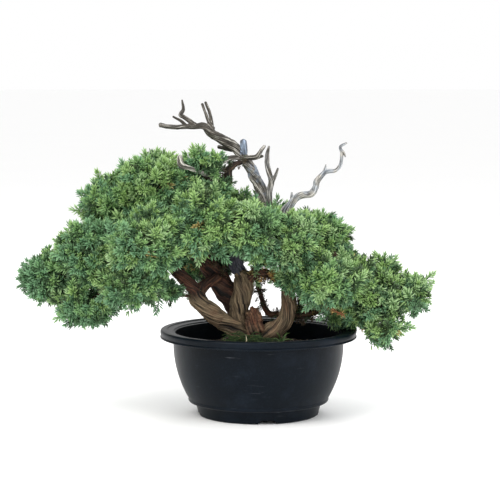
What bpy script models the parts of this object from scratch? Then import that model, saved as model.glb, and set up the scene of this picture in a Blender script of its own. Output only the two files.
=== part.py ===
# A needle-leaved juniper bonsai with weathered deadwood, growing in a round plastic training pot.
# All lengths below are millimetres, measured from the pot's axis at the level it stands on;
# +X is to the tree's right, +Y to its back and +Z up. The whole tree is then slid sideways so that
# the middle of its box stands over the origin.
import math

import bmesh
import bpy
from mathutils import Vector, noise

MM = 0.001
OBJECT_NAME = "bonsai_tree_in_a_pot"

# Pot
RIM_RADIUS = 132.5
POT_HEIGHT = 116.0
LIP_HEIGHT = 11.0
BAND_INNER_RADIUS = 116.0
BODY_TOP_RADIUS = 115.0
FOOT_TOP_RADIUS = 84.5
FOOT_RADIUS = 81.5
FOOT_HEIGHT = 17.0
FOOT_RING_INNER = 75.0
BELLY_TOP = 98.0        # where the belly starts to curve in
BELLY_HEIGHT = 75.0     # from there down to the shoulder above the foot
BELLY_TUCK = 20.2       # how far it has come in at the shoulder
BELLY_CURVE = 2.1
BELLY_RINGS = 6
FLOOR_UNDERSIDE = 6.0
FLOOR_TOP = 9.0
POT_WALL = 3.0
POT_STEPS = 40
NOTCH_SIZE = (26.0, 20.0, 5.5)
NOTCH_TOP = 17.0        # the notch is narrower here than at the foot's edge
NOTCH_ANGLES = (-82.0, 8.0, 98.0, 188.0)
DRAIN_RADIUS = 7.0
DRAIN_CIRCLE = 46.0
DRAIN_ANGLES = (45.0, 135.0, 225.0, 315.0)
DRAIN_SIDES = 16
SCREEN_SIZE = 26.0
SCREEN_THICKNESS = 1.0
SCREEN_CELLS = 5

# Soil and what grows on it
SOIL_EDGE_HEIGHT = 86.0
SOIL_MOUND_RISE = 20.0
SOIL_MOUND_SPREAD = 58.0
SOIL_MOUND_CENTRE = (-2.0, 4.0)
SOIL_RADIUS = 108.0
SOIL_CLEARANCE = 1.2    # between the root ball and the pot's wall
SOIL_SIDES = 36
SOIL_TOP_RINGS = (20.0, 40.0, 58.0, 76.0, 93.0, SOIL_RADIUS)
SOIL_WALL_LEVELS = (60.0, 40.0, 24.0)
CRUMB_SIZE = 20.0
CRUMB_RISE = 1.6

GAP = 0.3          # clearance between neighbours
WOOD_GAP = 0.5     # clearance around knotted wood
PAD_GAP = 0.6      # clearance between foliage pads
PAD_LUMP = 0.28    # how far a pad's surface swells and dips
PAD_LUMP_COUNT = 1.9
PAD_UNDERSIDE = 0.86    # pads are a little flatter below
WELD = 0.01        # welds curve caps
GROWN_SOLVER = "MANIFOLD"   # for knotted stems that cross at shallow angles

# Wood: each route is a list of (x, y, z, radius)
LEFT_TRUNK = [(-4, 2, 92, 11), (-14, -8, 103, 12), (-28, -15, 115, 11), (-44, -20, 127, 11),
              (-61, -24, 139, 12), (-75, -26, 152, 11), (-81, -25, 163, 11.5), (-76, -20, 174, 8),
              (-65, -12, 181, 6), (-54, -3, 186, 6)]
LEFT_FORK = [(-79, -25, 160, 10), (-88, -26, 174, 9), (-101, -28, 188, 8.5), (-117, -32, 205, 7)]
BACK_TRUNK = [(-6, 10, 92, 13), (-14, 10, 108, 14), (-24, 9, 128, 13), (-33, 11, 150, 14),
              (-47, 13, 170, 15), (-62, 12, 190, 13), (-74, 10, 212, 10), (-80, 7, 230, 8.5)]
MIDDLE_TRUNK = [(-4, 0, 92, 14), (-14, -4, 106, 12), (-25, -6, 124, 11), (-28, -6, 136, 12),
                (-23, -6, 152, 14), (-19, -5, 168, 15), (-18, -4, 182, 13), (-22, -1, 192, 9)]
ARCH_BRANCH = [(-17, -4, 182, 8), (-8, -7, 188, 7), (4, -11, 192, 6), (15, -15, 191, 6),
               (29, -20, 183, 5.5), (45, -28, 180, 5), (66, -36, 182, 4)]
BURR = [(-3, -12, 100, 12), (-4, -22, 112, 11), (-5, -24, 125, 10.5), (-6, -22, 135, 9.5),
        (-7, -17, 143, 7)]
RIGHT_TRUNK = [(-2, -2, 94, 12), (4, -12, 106, 12), (14, -18, 114, 11.5), (27, -20, 121, 11),
               (37, -18, 134, 10.5), (41, -15, 150, 10), (40, -10, 166, 9.5), (39, -4, 184, 9),
               (43, 2, 206, 8.5), (50, 6, 228, 7)]
ROOTS = [
    [(-8, -8, 98, 9), (-26, -22, 102, 6), (-44, -34, 98, 4.5), (-60, -44, 92, 3), (-70, -50, 86, 2)],
    [(-4, -10, 98, 9), (-12, -30, 102, 5.5), (-18, -46, 98, 4.5), (-26, -60, 91, 3), (-30, -70, 85, 2)],
    [(2, -6, 98, 9), (22, -26, 99, 6), (38, -38, 94, 4), (54, -46, 87, 2.5)],
    [(2, 6, 98, 10), (26, 20, 99, 6), (44, 32, 92, 4), (58, 40, 85, 2.5)],
    [(-4, 12, 98, 10), (-14, 34, 99, 6), (-22, 52, 91, 4), (-28, 66, 84, 2.5)],
    [(-8, 6, 98, 10), (-32, 16, 100, 6), (-52, 24, 92, 4), (-66, 28, 85, 2.5)],
]
HOOKED_SHOOT = [(33, -4, 136, 4.5), (26, 8, 133, 4.5), (17, 15, 134, 4.2), (9, 18, 142, 4),
                (4, 20, 156, 3.6), (0, 22, 172, 3), (-4, 24, 190, 2.5)]
LOW_BRANCH = [(38, -10, 140, 5.5), (50, 2, 135, 5.5), (66, 10, 135, 5), (84, 14, 139, 4.5),
              (104, 17, 142, 3.8), (122, 19, 136, 3)]
THIN_SHOOT = [(-84, -25, 163, 3), (-98, -27, 164, 2.2), (-115, -30, 167, 2), (-134, -40, 176, 1.8)]
LEFT_BRANCHES = [
    [(-116, -32, 204, 6.5), (-140, -40, 214, 6), (-170, -48, 216, 5.2), (-200, -48, 212, 4.4),
     (-235, -36, 200, 3.5), (-268, -20, 188, 2.6)],
    [(-140, -40, 214, 5), (-150, -60, 226, 4), (-148, -82, 238, 3)],
    [(-170, -48, 216, 4.4), (-182, -62, 200, 3.6), (-204, -52, 176, 2.8), (-222, -42, 160, 2.2)],
]
CROWN_BRANCHES = [
    [(-80, 7, 232, 8), (-90, 2, 250, 7.4), (-106, -4, 274, 6), (-126, -9, 294, 4.6), (-140, -10, 312, 3)],
    [(-98, -1, 262, 5), (-88, -8, 288, 4.2), (-76, -14, 310, 3)],
    [(-106, -4, 274, 5), (-140, 2, 279, 4.4), (-172, 8, 282, 3.6), (-200, 10, 286, 2.6)],
    [(-90, 2, 250, 5), (-78, -26, 256, 4.2), (-71, -58, 264, 3)],
]
BACK_BRANCHES = [
    [(-62, 14, 190, 8), (-70, 36, 204, 6.5), (-88, 56, 226, 5.5), (-106, 66, 256, 4), (-114, 70, 276, 3)],
    [(-88, 56, 226, 5), (-130, 64, 222, 4.4), (-180, 66, 214, 3.6), (-224, 60, 210, 2.6)],
    [(-70, 36, 204, 5), (-72, 54, 200, 3.6)],
    [(-74, 42, 209, 5), (-40, 54, 226, 4.4), (-4, 52, 248, 3)],
]
RIGHT_BRANCHES = [
    [(50, 6, 226, 6.6), (68, 2, 232, 6), (92, -6, 222, 5.4), (122, -14, 200, 4.8),
     (150, -16, 176, 4), (178, -10, 166, 3.4), (204, -5, 163, 2.4)],
    [(56, 5, 230, 5), (48, -16, 238, 4), (41, -36, 242, 3)],
    [(68, 2, 232, 4.6), (80, 30, 226, 4), (86, 60, 218, 3.4), (86, 78, 215, 2.4)],
    [(92, -6, 222, 4.4), (98, -24, 204, 3.8), (94, -36, 190, 2.6)],
    [(150, -16, 176, 3.2), (164, -24, 150, 2.8), (170, -30, 132, 2)],
    [(52, 6, 229, 4.6), (24, -28, 246, 4), (-6, -54, 256, 2.8)],
]
APEX_DEADWOOD = [
    [(-24, 0, 190, 8), (-30, 2, 203, 9), (-24, 6, 220, 8), (-8, 10, 248, 7.5), (4, 11, 272, 7.4),
     (5, 10, 291, 7), (-1, 10, 314, 6.8), (-12, 8, 334, 6.4), (-21, 6, 346, 6),
     (-28, 4, 356, 6), (-37, 2, 364, 6), (-51, -1, 373, 5.8), (-65, -4, 382, 5),
     (-74, -6, 389, 4.2), (-92, -9, 389, 3.4), (-109, -12, 388, 3), (-122, -14, 389, 2.8),
     (-131, -16, 391, 2.8)],
    [(-96, -10, 389, 2.6), (-103, -11, 396, 1.8), (-114, -12, 402, 1.4)],
    [(-85, -8, 391, 3.2), (-92, -9, 396, 2.6), (-98, -9, 400, 2.4), (-104, -9, 404, 2.6),
     (-100, -9, 411, 2.2), (-102, -9, 424, 1.2)],
    [(-62, -4, 385, 3.4), (-67, -4, 395, 2.2), (-71, -5, 407, 1.8), (-75, -6, 419, 1.6)],
    [(-62, -2, 386, 3.4), (-63, 0, 396, 2.2), (-66, 1, 408, 2), (-71, 1, 421, 1.7)],
    [(-30, 5, 357, 3), (-40, 4, 358, 2.8), (-54, 2, 361, 2.2)],
    [(-20, 4, 345, 3.6), (-20, 3, 357, 3), (-20, 2, 370, 2.6)],
    [(-17, 7, 341, 4), (-26, 2, 346, 3), (-38, -2, 346, 3), (-47, -4, 341, 2.2)],
    [(-24, 2, 345, 3), (-12, -2, 347, 3.2), (-2, -5, 348, 3.2), (4, -6, 357, 2.6), (8, -7, 363, 1.8)],
    [(-4, -4, 347, 2.6), (6, -5, 349, 1.6)],
]
SECOND_APEX = [
    [(-84, 4, 246, 6), (-64, 4, 270, 6), (-48, 3, 292, 6), (-42, 2, 312, 6), (-40, 1, 330, 5),
     (-32, 1, 337, 4), (-22, 2, 341, 3)],
]
LEFT_DEADWOOD = [
    [(-52, -22, 312, 3), (-60, -26, 320, 3.2), (-76, -30, 328, 3), (-92, -34, 335, 3),
     (-102, -36, 340, 4), (-104, -36, 350, 3)],
]
UPRIGHT_DEADWOOD = [
    [(12, 6, 268, 3.6), (14, -2, 284, 4), (15, -6, 300, 4), (17, -6, 315, 3.8), (12, -6, 335, 3.4),
     (12, -6, 350, 2.8), (14, -6, 362, 1.6)],
    [(17, -6, 312, 3), (22, -8, 322, 2.4), (26, -9, 333, 1.4)],
]
RIGHT_DEADWOOD = [
    [(46, 6, 226, 5), (38, 4, 246, 5.5), (32, 1, 268, 5.6), (42, 0, 284, 5.2), (54, 2, 295, 4.4),
     (71, 4, 298, 4.4), (77, 5, 307, 4), (79, 6, 316, 4), (90, 8, 327, 3.2), (104, 10, 329, 2.6),
     (111, 11, 338, 2.4), (112, 12, 352, 2), (110, 12, 361, 2), (119, 12, 366, 1.2)],
    [(88, 8, 326, 2.4), (91, 8, 337, 1.2)],
    [(45, 1, 288, 3), (45, 3, 300, 1.2)],
]
ORANGE_TWIG = [(66, -40, 172, 2.6), (76, -48, 164, 2.6), (87, -52, 156, 2.4), (99, -56, 148, 2),
               (112, -58, 142, 1.4)]

GRASS = [
    [(30, -40, 100, 1.6), (31, -41, 106, 1.0), (34, -43, 112, 0.8), (38, -44, 117, 0.6)],
    [(30, -40, 101, 1.6), (29, -42, 107, 1.0), (27, -44, 113, 0.8), (23, -45, 118, 0.6)],
    [(30, -40, 101, 1.6), (33, -39, 105, 1.0), (39, -38, 107, 0.8), (46, -37, 106, 0.6)],
]
DRY_STALK = [(-17, -44, 95, 1.2), (-17, -45, 101, 1.2), (-16, -45, 107, 1.1), (-17, -44, 113, 0.8)]
MOSS_PATCHES = [
    ("moss_front", (-16, -32, 103), (27, 15, 6), 31),
    ("moss_right", (14, -36, 101), (20, 12, 6), 32),
]

# Foliage pads: name, centre, radii, seed
PADS = [
    ("foliage_front_centre", (-72, -70, 262), (46, 42, 46), 1),
    ("foliage_front_left", (-143, -90, 240), (52, 50, 50), 2),
    ("foliage_front_low", (-166, -76, 184), (46, 44, 30), 3),
    ("foliage_left_middle", (-216, -46, 220), (52, 48, 52), 4),
    ("foliage_left_hanging", (-228, -38, 156), (42, 40, 39), 5),
    ("foliage_left_tip", (-276, -12, 187), (42, 42, 38), 6),
    ("foliage_left_tuft", (-124, -54, 174), (20, 22, 17), 7),
    ("foliage_upper_left", (-194, 12, 282), (47, 52, 48), 8),
    ("foliage_top_left", (-142, -8, 306), (48, 52, 50), 9),
    ("foliage_top_centre", (-72, -10, 316), (43, 46, 43), 10),
    ("foliage_back_left", (-212, 72, 212), (54, 58, 48), 11),
    ("foliage_back_top", (-116, 88, 266), (60, 58, 54), 12),
    ("foliage_back_low", (-76, 66, 196), (42, 42, 28), 13),
    ("foliage_right_front", (-8, -58, 252), (44, 42, 42), 14),
    ("foliage_right_middle", (42, -40, 236), (45, 44, 40), 15),
    ("foliage_centre", (-32, 24, 266), (40, 38, 36), 25),
    ("foliage_right_back", (10, 62, 248), (50, 48, 38), 16),
    ("foliage_right_top", (84, 14, 237), (36, 44, 37), 17),
    ("foliage_far_back", (84, 92, 206), (54, 54, 42), 18),
    ("foliage_right_low", (94, -42, 182), (48, 46, 40), 19),
    ("foliage_right_outer", (154, -14, 156), (46, 50, 40), 20),
    ("foliage_right_knob", (174, 24, 186), (23, 28, 22), 21),
    ("foliage_right_tip", (205, -6, 162), (27, 36, 26), 22),
    ("foliage_right_hanging", (168, -30, 125), (27, 30, 21), 23),
    ("foliage_right_inner", (126, 6, 136), (26, 34, 18), 26),
    ("foliage_apex_tuft", (-24, 4, 322), (15, 14, 12), 24),
]


def clear_scene():
    for thing in list(bpy.data.objects):
        bpy.data.objects.remove(thing, do_unlink=True)


def new_collection(name):
    collection = bpy.data.collections.new(name)
    bpy.context.scene.collection.children.link(collection)
    return collection


def new_material(name, colour, roughness, metallic=0.0):
    material = bpy.data.materials.new(name)
    material.use_nodes = True
    shader = material.node_tree.nodes["Principled BSDF"]
    shader.inputs["Base Color"].default_value = (*colour, 1.0)
    shader.inputs["Roughness"].default_value = roughness
    shader.inputs["Metallic"].default_value = metallic
    material.diffuse_color = (*colour, 1.0)
    return material


def add_object(name, mesh, collection, material=None):
    thing = bpy.data.objects.new(name, mesh)
    collection.objects.link(thing)
    if material:
        thing.data.materials.append(material)
    return thing


def mark_as_cutter(thing):
    thing.hide_render = True
    thing.display_type = "WIRE"
    return thing


def boolean(target, cutter, operation, solver="EXACT"):
    modifier = target.modifiers.new(operation.lower(), "BOOLEAN")
    modifier.operation = operation
    modifier.object = cutter
    modifier.solver = solver


def settle(thing):
    """Turns an object and its modifiers into one plain mesh."""
    depsgraph = bpy.context.evaluated_depsgraph_get()
    mesh = bpy.data.meshes.new_from_object(thing.evaluated_get(depsgraph))
    old = thing.data
    thing.modifiers.clear()
    thing.data = mesh
    bpy.data.meshes.remove(old)


def smooth_route(points, per_span):
    """Points along a Catmull-Rom curve through the route, radius included."""
    rows = [Vector(point[:3]).to_4d() for point in points]
    for row, point in zip(rows, points):
        row.w = point[3]
    rows = [rows[0] * 2 - rows[1]] + rows + [rows[-1] * 2 - rows[-2]]
    found = []
    for a, b, c, d in zip(rows, rows[1:], rows[2:], rows[3:]):
        for step in range(per_span):
            t = step / per_span
            found.append(
                (b * 2 + (c - a) * t + (a * 2 - b * 5 + c * 4 - d) * t**2
                 + (b * 3 - a - c * 3 + d) * t**3) * 0.5
            )
    found.append(rows[-2])
    return found


def stem(name, route, sides, per_span, collection, clearance=0.0):
    """A round stem along a route, as a closed mesh, grown by the clearance all over."""
    points = smooth_route(route, per_span)
    for end, inner in ((0, 1), (-1, -2)):
        reach = (points[end] - points[inner]).to_3d().normalized() * clearance
        points[end] = points[end] + reach.to_4d() - Vector((0, 0, 0, 1))
    curve = bpy.data.curves.new(name, "CURVE")
    curve.dimensions = "3D"
    curve.bevel_depth = 1.0 * MM
    curve.bevel_resolution = (sides - 4) // 2
    curve.use_fill_caps = True
    spline = curve.splines.new("POLY")
    spline.points.add(len(points) - 1)
    for place, point in zip(spline.points, points):
        place.co = (point.x * MM, point.y * MM, point.z * MM, 1.0)
        place.radius = max(point.w, 0.6) + clearance
    guide = bpy.data.objects.new(name + "_guide", curve)
    collection.objects.link(guide)
    depsgraph = bpy.context.evaluated_depsgraph_get()
    mesh = bpy.data.meshes.new_from_object(guide.evaluated_get(depsgraph))
    bpy.data.objects.remove(guide)
    shape = bmesh.new()
    shape.from_mesh(mesh)
    bmesh.ops.remove_doubles(shape, verts=shape.verts, dist=WELD * MM)
    bmesh.ops.recalc_face_normals(shape, faces=shape.faces)
    shape.to_mesh(mesh)
    shape.free()
    mesh.shade_smooth()
    return add_object(name, mesh, collection)


def grown_wood(name, routes, sides, per_span, parts, cutters, clearance=0.0):
    """Several stems that grew as one piece."""
    whole = stem(name, routes[0], sides, per_span, parts, clearance)
    for route in routes[1:]:
        limb = mark_as_cutter(stem(name + "_limb", route, sides, per_span, cutters, clearance))
        boolean(whole, limb, "UNION", GROWN_SOLVER)
    settle(whole)
    return whole


def wood_and_its_space(name, routes, sides, per_span, parts, cutters, material):
    """The wood itself, and a cutter a little larger that makes room for it in its neighbours."""
    wood = grown_wood(name, routes, sides, per_span, parts, cutters)
    wood.data.materials.append(material)
    space = grown_wood(name + "_space", routes, sides, per_span, cutters, cutters, WOOD_GAP)
    return wood, mark_as_cutter(space)


def corners(thing):
    points = [vertex.co for vertex in thing.data.vertices]
    low = [min(point[axis] for point in points) for axis in range(3)]
    high = [max(point[axis] for point in points) for axis in range(3)]
    return low, high


def boxes_meet(one, other):
    low_a, high_a = corners(one)
    low_b, high_b = corners(other)
    return all(low_a[axis] < high_b[axis] and low_b[axis] < high_a[axis] for axis in range(3))


def keep_largest(thing):
    """Drops the crumbs that a cut leaves loose between roots or twigs."""
    shape = bmesh.new()
    shape.from_mesh(thing.data)
    unseen = set(shape.verts)
    islands = []
    while unseen:
        front = [unseen.pop()]
        island = list(front)
        while front:
            linked = {edge.other_vert(vertex) for vertex in front for edge in vertex.link_edges}
            front = list(linked & unseen)
            unseen -= linked
            island += front
        islands.append(island)
    islands.sort(key=len)
    for island in islands[:-1]:
        bmesh.ops.delete(shape, geom=island, context="VERTS")
    shape.to_mesh(thing.data)
    shape.free()


def fit_around(thing, spaces):
    """Cuts a piece back from the neighbours that it grows around or against."""
    for space in spaces:
        if boxes_meet(thing, space):
            boolean(thing, space, "DIFFERENCE", GROWN_SOLVER)
            settle(thing)
    keep_largest(thing)


def belly_radius(height):
    """The pot's outer radius between the lip and the foot."""
    depth = (BELLY_TOP - height) / BELLY_HEIGHT
    return BODY_TOP_RADIUS - BELLY_TUCK * depth**BELLY_CURVE


def pot_profile():
    """The pot's section, from the inner floor's edge over the rim and down to the axis below."""
    rim = [
        (RIM_RADIUS - 1.4, POT_HEIGHT),
        (RIM_RADIUS, POT_HEIGHT - 1.6),
        (RIM_RADIUS - 0.8, POT_HEIGHT - LIP_HEIGHT),
        (RIM_RADIUS - 4.4, POT_HEIGHT - LIP_HEIGHT),
        (RIM_RADIUS - 5.0, POT_HEIGHT - LIP_HEIGHT + 4.0),
        (BODY_TOP_RADIUS + 0.8, POT_HEIGHT - LIP_HEIGHT + 4.6),
    ]
    heights = [BELLY_TOP - BELLY_HEIGHT * step / (BELLY_RINGS - 1) for step in range(BELLY_RINGS)]
    belly = [(belly_radius(height), height) for height in heights]
    foot = [
        (FOOT_TOP_RADIUS + 6.0, FOOT_HEIGHT + 2.2),
        (FOOT_TOP_RADIUS + 0.8, FOOT_HEIGHT - 1.2),
        (FOOT_RADIUS, 2.0),
        (FOOT_RADIUS - 2.0, 0.0),
        (FOOT_RING_INNER, 0.0),
        (FOOT_RING_INNER - 1.0, FLOOR_UNDERSIDE),
        (0.0, FLOOR_UNDERSIDE),
    ]
    inside = [
        (0.0, FLOOR_TOP),
        (FOOT_RADIUS - POT_WALL, FLOOR_TOP),
        (FOOT_TOP_RADIUS - POT_WALL, FOOT_HEIGHT + 1.0),
        (FOOT_TOP_RADIUS + 4.5, FOOT_HEIGHT + 4.5),
    ]
    for radius, height in reversed(belly):
        inside.append((radius - POT_WALL, height + 0.6))
    inside += [
        (BODY_TOP_RADIUS - POT_WALL + 0.4, POT_HEIGHT - 4.4),
        (BAND_INNER_RADIUS - 1.4, POT_HEIGHT - 2.6),
        (BAND_INNER_RADIUS, POT_HEIGHT - 2.0),
        (BAND_INNER_RADIUS + 6.4, POT_HEIGHT - 1.4),
        (BAND_INNER_RADIUS + 7.4, POT_HEIGHT),
    ]
    return inside + rim + belly + foot


def make_pot(parts, cutters, material):
    profile = bpy.data.meshes.new("pot")
    points = [(radius * MM, 0.0, height * MM) for radius, height in pot_profile()]
    profile.from_pydata(points, [(n, n + 1) for n in range(len(points) - 1)], [])
    pot = add_object("pot", profile, parts, material)
    screw = pot.modifiers.new("turned", "SCREW")
    screw.axis = "Z"
    screw.steps = POT_STEPS
    screw.render_steps = POT_STEPS
    screw.use_merge_vertices = True
    screw.merge_threshold = 0.0001
    for angle in NOTCH_ANGLES:
        turn = math.radians(angle)
        notch = notch_cutter(cutters)
        notch.rotation_euler.z = turn + math.pi / 2
        notch.location = (FOOT_RADIUS * math.cos(turn) * MM, FOOT_RADIUS * math.sin(turn) * MM, 0.0)
        boolean(pot, notch, "DIFFERENCE")
    for angle in DRAIN_ANGLES:
        turn = math.radians(angle)
        shape = bmesh.new()
        bmesh.ops.create_cone(shape, cap_ends=True, segments=DRAIN_SIDES, depth=20 * MM,
                              radius1=DRAIN_RADIUS * MM, radius2=DRAIN_RADIUS * MM)
        mesh = bpy.data.meshes.new("drain_hole")
        shape.to_mesh(mesh)
        shape.free()
        hole = mark_as_cutter(add_object("drain_hole", mesh, cutters))
        hole.location = (DRAIN_CIRCLE * math.cos(turn) * MM, DRAIN_CIRCLE * math.sin(turn) * MM,
                         FLOOR_UNDERSIDE * MM)
        boolean(pot, hole, "DIFFERENCE")
    return pot


def box_cutter(name, size, cutters):
    shape = bmesh.new()
    bmesh.ops.create_cube(shape, size=1.0)
    bmesh.ops.scale(shape, vec=Vector((size[0], size[1], size[2] * 2)) * MM, verts=shape.verts)
    mesh = bpy.data.meshes.new(name)
    shape.to_mesh(mesh)
    shape.free()
    return mark_as_cutter(add_object(name, mesh, cutters))


def notch_cutter(cutters):
    """A block with sloping sides, carried on below the foot."""
    notch = box_cutter("foot_notch", NOTCH_SIZE, cutters)
    slope = (NOTCH_SIZE[0] - NOTCH_TOP) / 2 * MM
    for corner in notch.data.vertices:
        corner.co.x -= math.copysign(slope, corner.co.x * corner.co.z)
    return notch


def make_screens(parts, material):
    """A square of plastic mesh lies over each drain hole, on the pot's floor."""
    screens = []
    for number, angle in enumerate(DRAIN_ANGLES, start=1):
        turn = math.radians(angle)
        shape = bmesh.new()
        bmesh.ops.create_grid(shape, x_segments=SCREEN_CELLS, y_segments=SCREEN_CELLS,
                              size=SCREEN_SIZE / 2 * MM)
        mesh_holes = [face for face in shape.faces if is_mesh_hole(face.calc_center_median())]
        bmesh.ops.delete(shape, geom=mesh_holes, context="FACES_ONLY")
        mesh = bpy.data.meshes.new(f"drain_screen_{number}")
        shape.to_mesh(mesh)
        shape.free()
        screen = add_object(f"drain_screen_{number}", mesh, parts, material)
        screen.location = (DRAIN_CIRCLE * math.cos(turn) * MM, DRAIN_CIRCLE * math.sin(turn) * MM,
                           (FLOOR_TOP + GAP) * MM)
        screen.rotation_euler.z = turn
        solid = screen.modifiers.new("thickness", "SOLIDIFY")
        solid.thickness = SCREEN_THICKNESS * MM
        solid.offset = 1.0
        screens.append(screen)
    return screens


def is_mesh_hole(centre):
    cell = SCREEN_SIZE / SCREEN_CELLS * MM
    column = round(centre.x / cell)
    row = round(centre.y / cell)
    return (column, row) in ((-1, -1), (1, 1), (-1, 1), (1, -1))


def soil_height(x, y):
    away = math.hypot(x - SOIL_MOUND_CENTRE[0], y - SOIL_MOUND_CENTRE[1])
    mound = SOIL_MOUND_RISE * math.exp(-((away / SOIL_MOUND_SPREAD) ** 2))
    crumbs = noise.noise(Vector((x / CRUMB_SIZE, y / CRUMB_SIZE, 3.0))) * CRUMB_RISE
    return SOIL_EDGE_HEIGHT + mound + crumbs


def make_soil(parts, material):
    """The root ball fills the pot to a low mound around the trunk."""
    base = FLOOR_TOP + SOIL_CLEARANCE + 0.7
    outline = [(radius, None) for radius in SOIL_TOP_RINGS]
    for height in SOIL_WALL_LEVELS:
        outline.append((belly_radius(height) - POT_WALL - SOIL_CLEARANCE, height))
    outline.append((FOOT_TOP_RADIUS - POT_WALL - SOIL_CLEARANCE - 1.0, FOOT_HEIGHT + 1.0))
    outline.append((FOOT_RADIUS - POT_WALL - SOIL_CLEARANCE - 1.4, base))
    shape = bmesh.new()
    rows = []
    for radius, height in outline:
        row = []
        for n in range(SOIL_SIDES):
            turn = 2 * math.pi * n / SOIL_SIDES
            x = radius * math.cos(turn)
            y = radius * math.sin(turn)
            z = soil_height(x, y) if height is None else height
            row.append(shape.verts.new(Vector((x, y, z)) * MM))
        rows.append(row)
    centre = shape.verts.new((0, 0, soil_height(0, 0) * MM))
    bottom = shape.verts.new((0, 0, base * MM))
    for n in range(SOIL_SIDES):
        following = (n + 1) % SOIL_SIDES
        shape.faces.new((centre, rows[0][n], rows[0][following]))
        for upper, lower in zip(rows, rows[1:]):
            shape.faces.new((upper[n], lower[n], lower[following], upper[following]))
        shape.faces.new((rows[-1][n], bottom, rows[-1][following]))
    bmesh.ops.recalc_face_normals(shape, faces=shape.faces)
    mesh = bpy.data.meshes.new("soil")
    shape.to_mesh(mesh)
    shape.free()
    return add_object("soil", mesh, parts, material)


def lumpy_ball(name, centre, radii, seed, collection):
    """A rounded cloud of leaves, flatter below than above."""
    shape = bmesh.new()
    bmesh.ops.create_icosphere(shape, subdivisions=2, radius=1.0)
    for vertex in shape.verts:
        way = vertex.co.normalized()
        bulge = 1.0 + PAD_LUMP * noise.noise(way * PAD_LUMP_COUNT + Vector((seed * 7.1, seed * 3.3, 0.0)))
        height = way.z * (1.0 if way.z > 0 else PAD_UNDERSIDE)
        vertex.co = Vector((
            centre[0] + way.x * radii[0] * bulge,
            centre[1] + way.y * radii[1] * bulge,
            centre[2] + height * radii[2] * bulge,
        )) * MM
    mesh = bpy.data.meshes.new(name)
    shape.to_mesh(mesh)
    shape.free()
    mesh.shade_smooth()
    return add_object(name, mesh, collection)


def make_ground_cover(soil, trunk_space, parts, cutters, green, straw):
    """Grass, a dry stalk and cushions of moss, standing on the soil around the trunk."""
    soil_space = mark_as_cutter(add_object("soil_space", soil.data.copy(), cutters))
    for vertex in soil_space.data.vertices:
        vertex.co.z += GAP * MM
    ground = [trunk_space, soil, soil_space]
    cover = []
    blades = []
    for name, routes, material in (("grass_tuft", GRASS, green), ("dry_stalk", [DRY_STALK], straw)):
        growth = grown_wood(name, routes, 6, 1, parts, cutters)
        growth.data.materials.append(material)
        fit_around(growth, ground)
        blades.append(mark_as_cutter(grown_wood(name + "_space", routes, 6, 1, cutters, cutters, GAP)))
        cover.append(growth)
    ground += blades
    for name, centre, radii, seed in MOSS_PATCHES:
        moss = lumpy_ball(name, centre, radii, seed, parts)
        moss.data.materials.append(green)
        fit_around(moss, ground)
        wider = [radius + GAP for radius in radii]
        ground.append(mark_as_cutter(lumpy_ball(name + "_space", centre, wider, seed, cutters)))
        cover.append(moss)
    return cover


def box_of(things):
    depsgraph = bpy.context.evaluated_depsgraph_get()
    low = [math.inf] * 3
    high = [-math.inf] * 3
    for thing in things:
        evaluated = thing.evaluated_get(depsgraph)
        for corner in evaluated.bound_box:
            place = evaluated.matrix_world @ Vector(corner)
            for axis in range(3):
                low[axis] = min(low[axis], place[axis])
                high[axis] = max(high[axis], place[axis])
    return low, high


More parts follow.
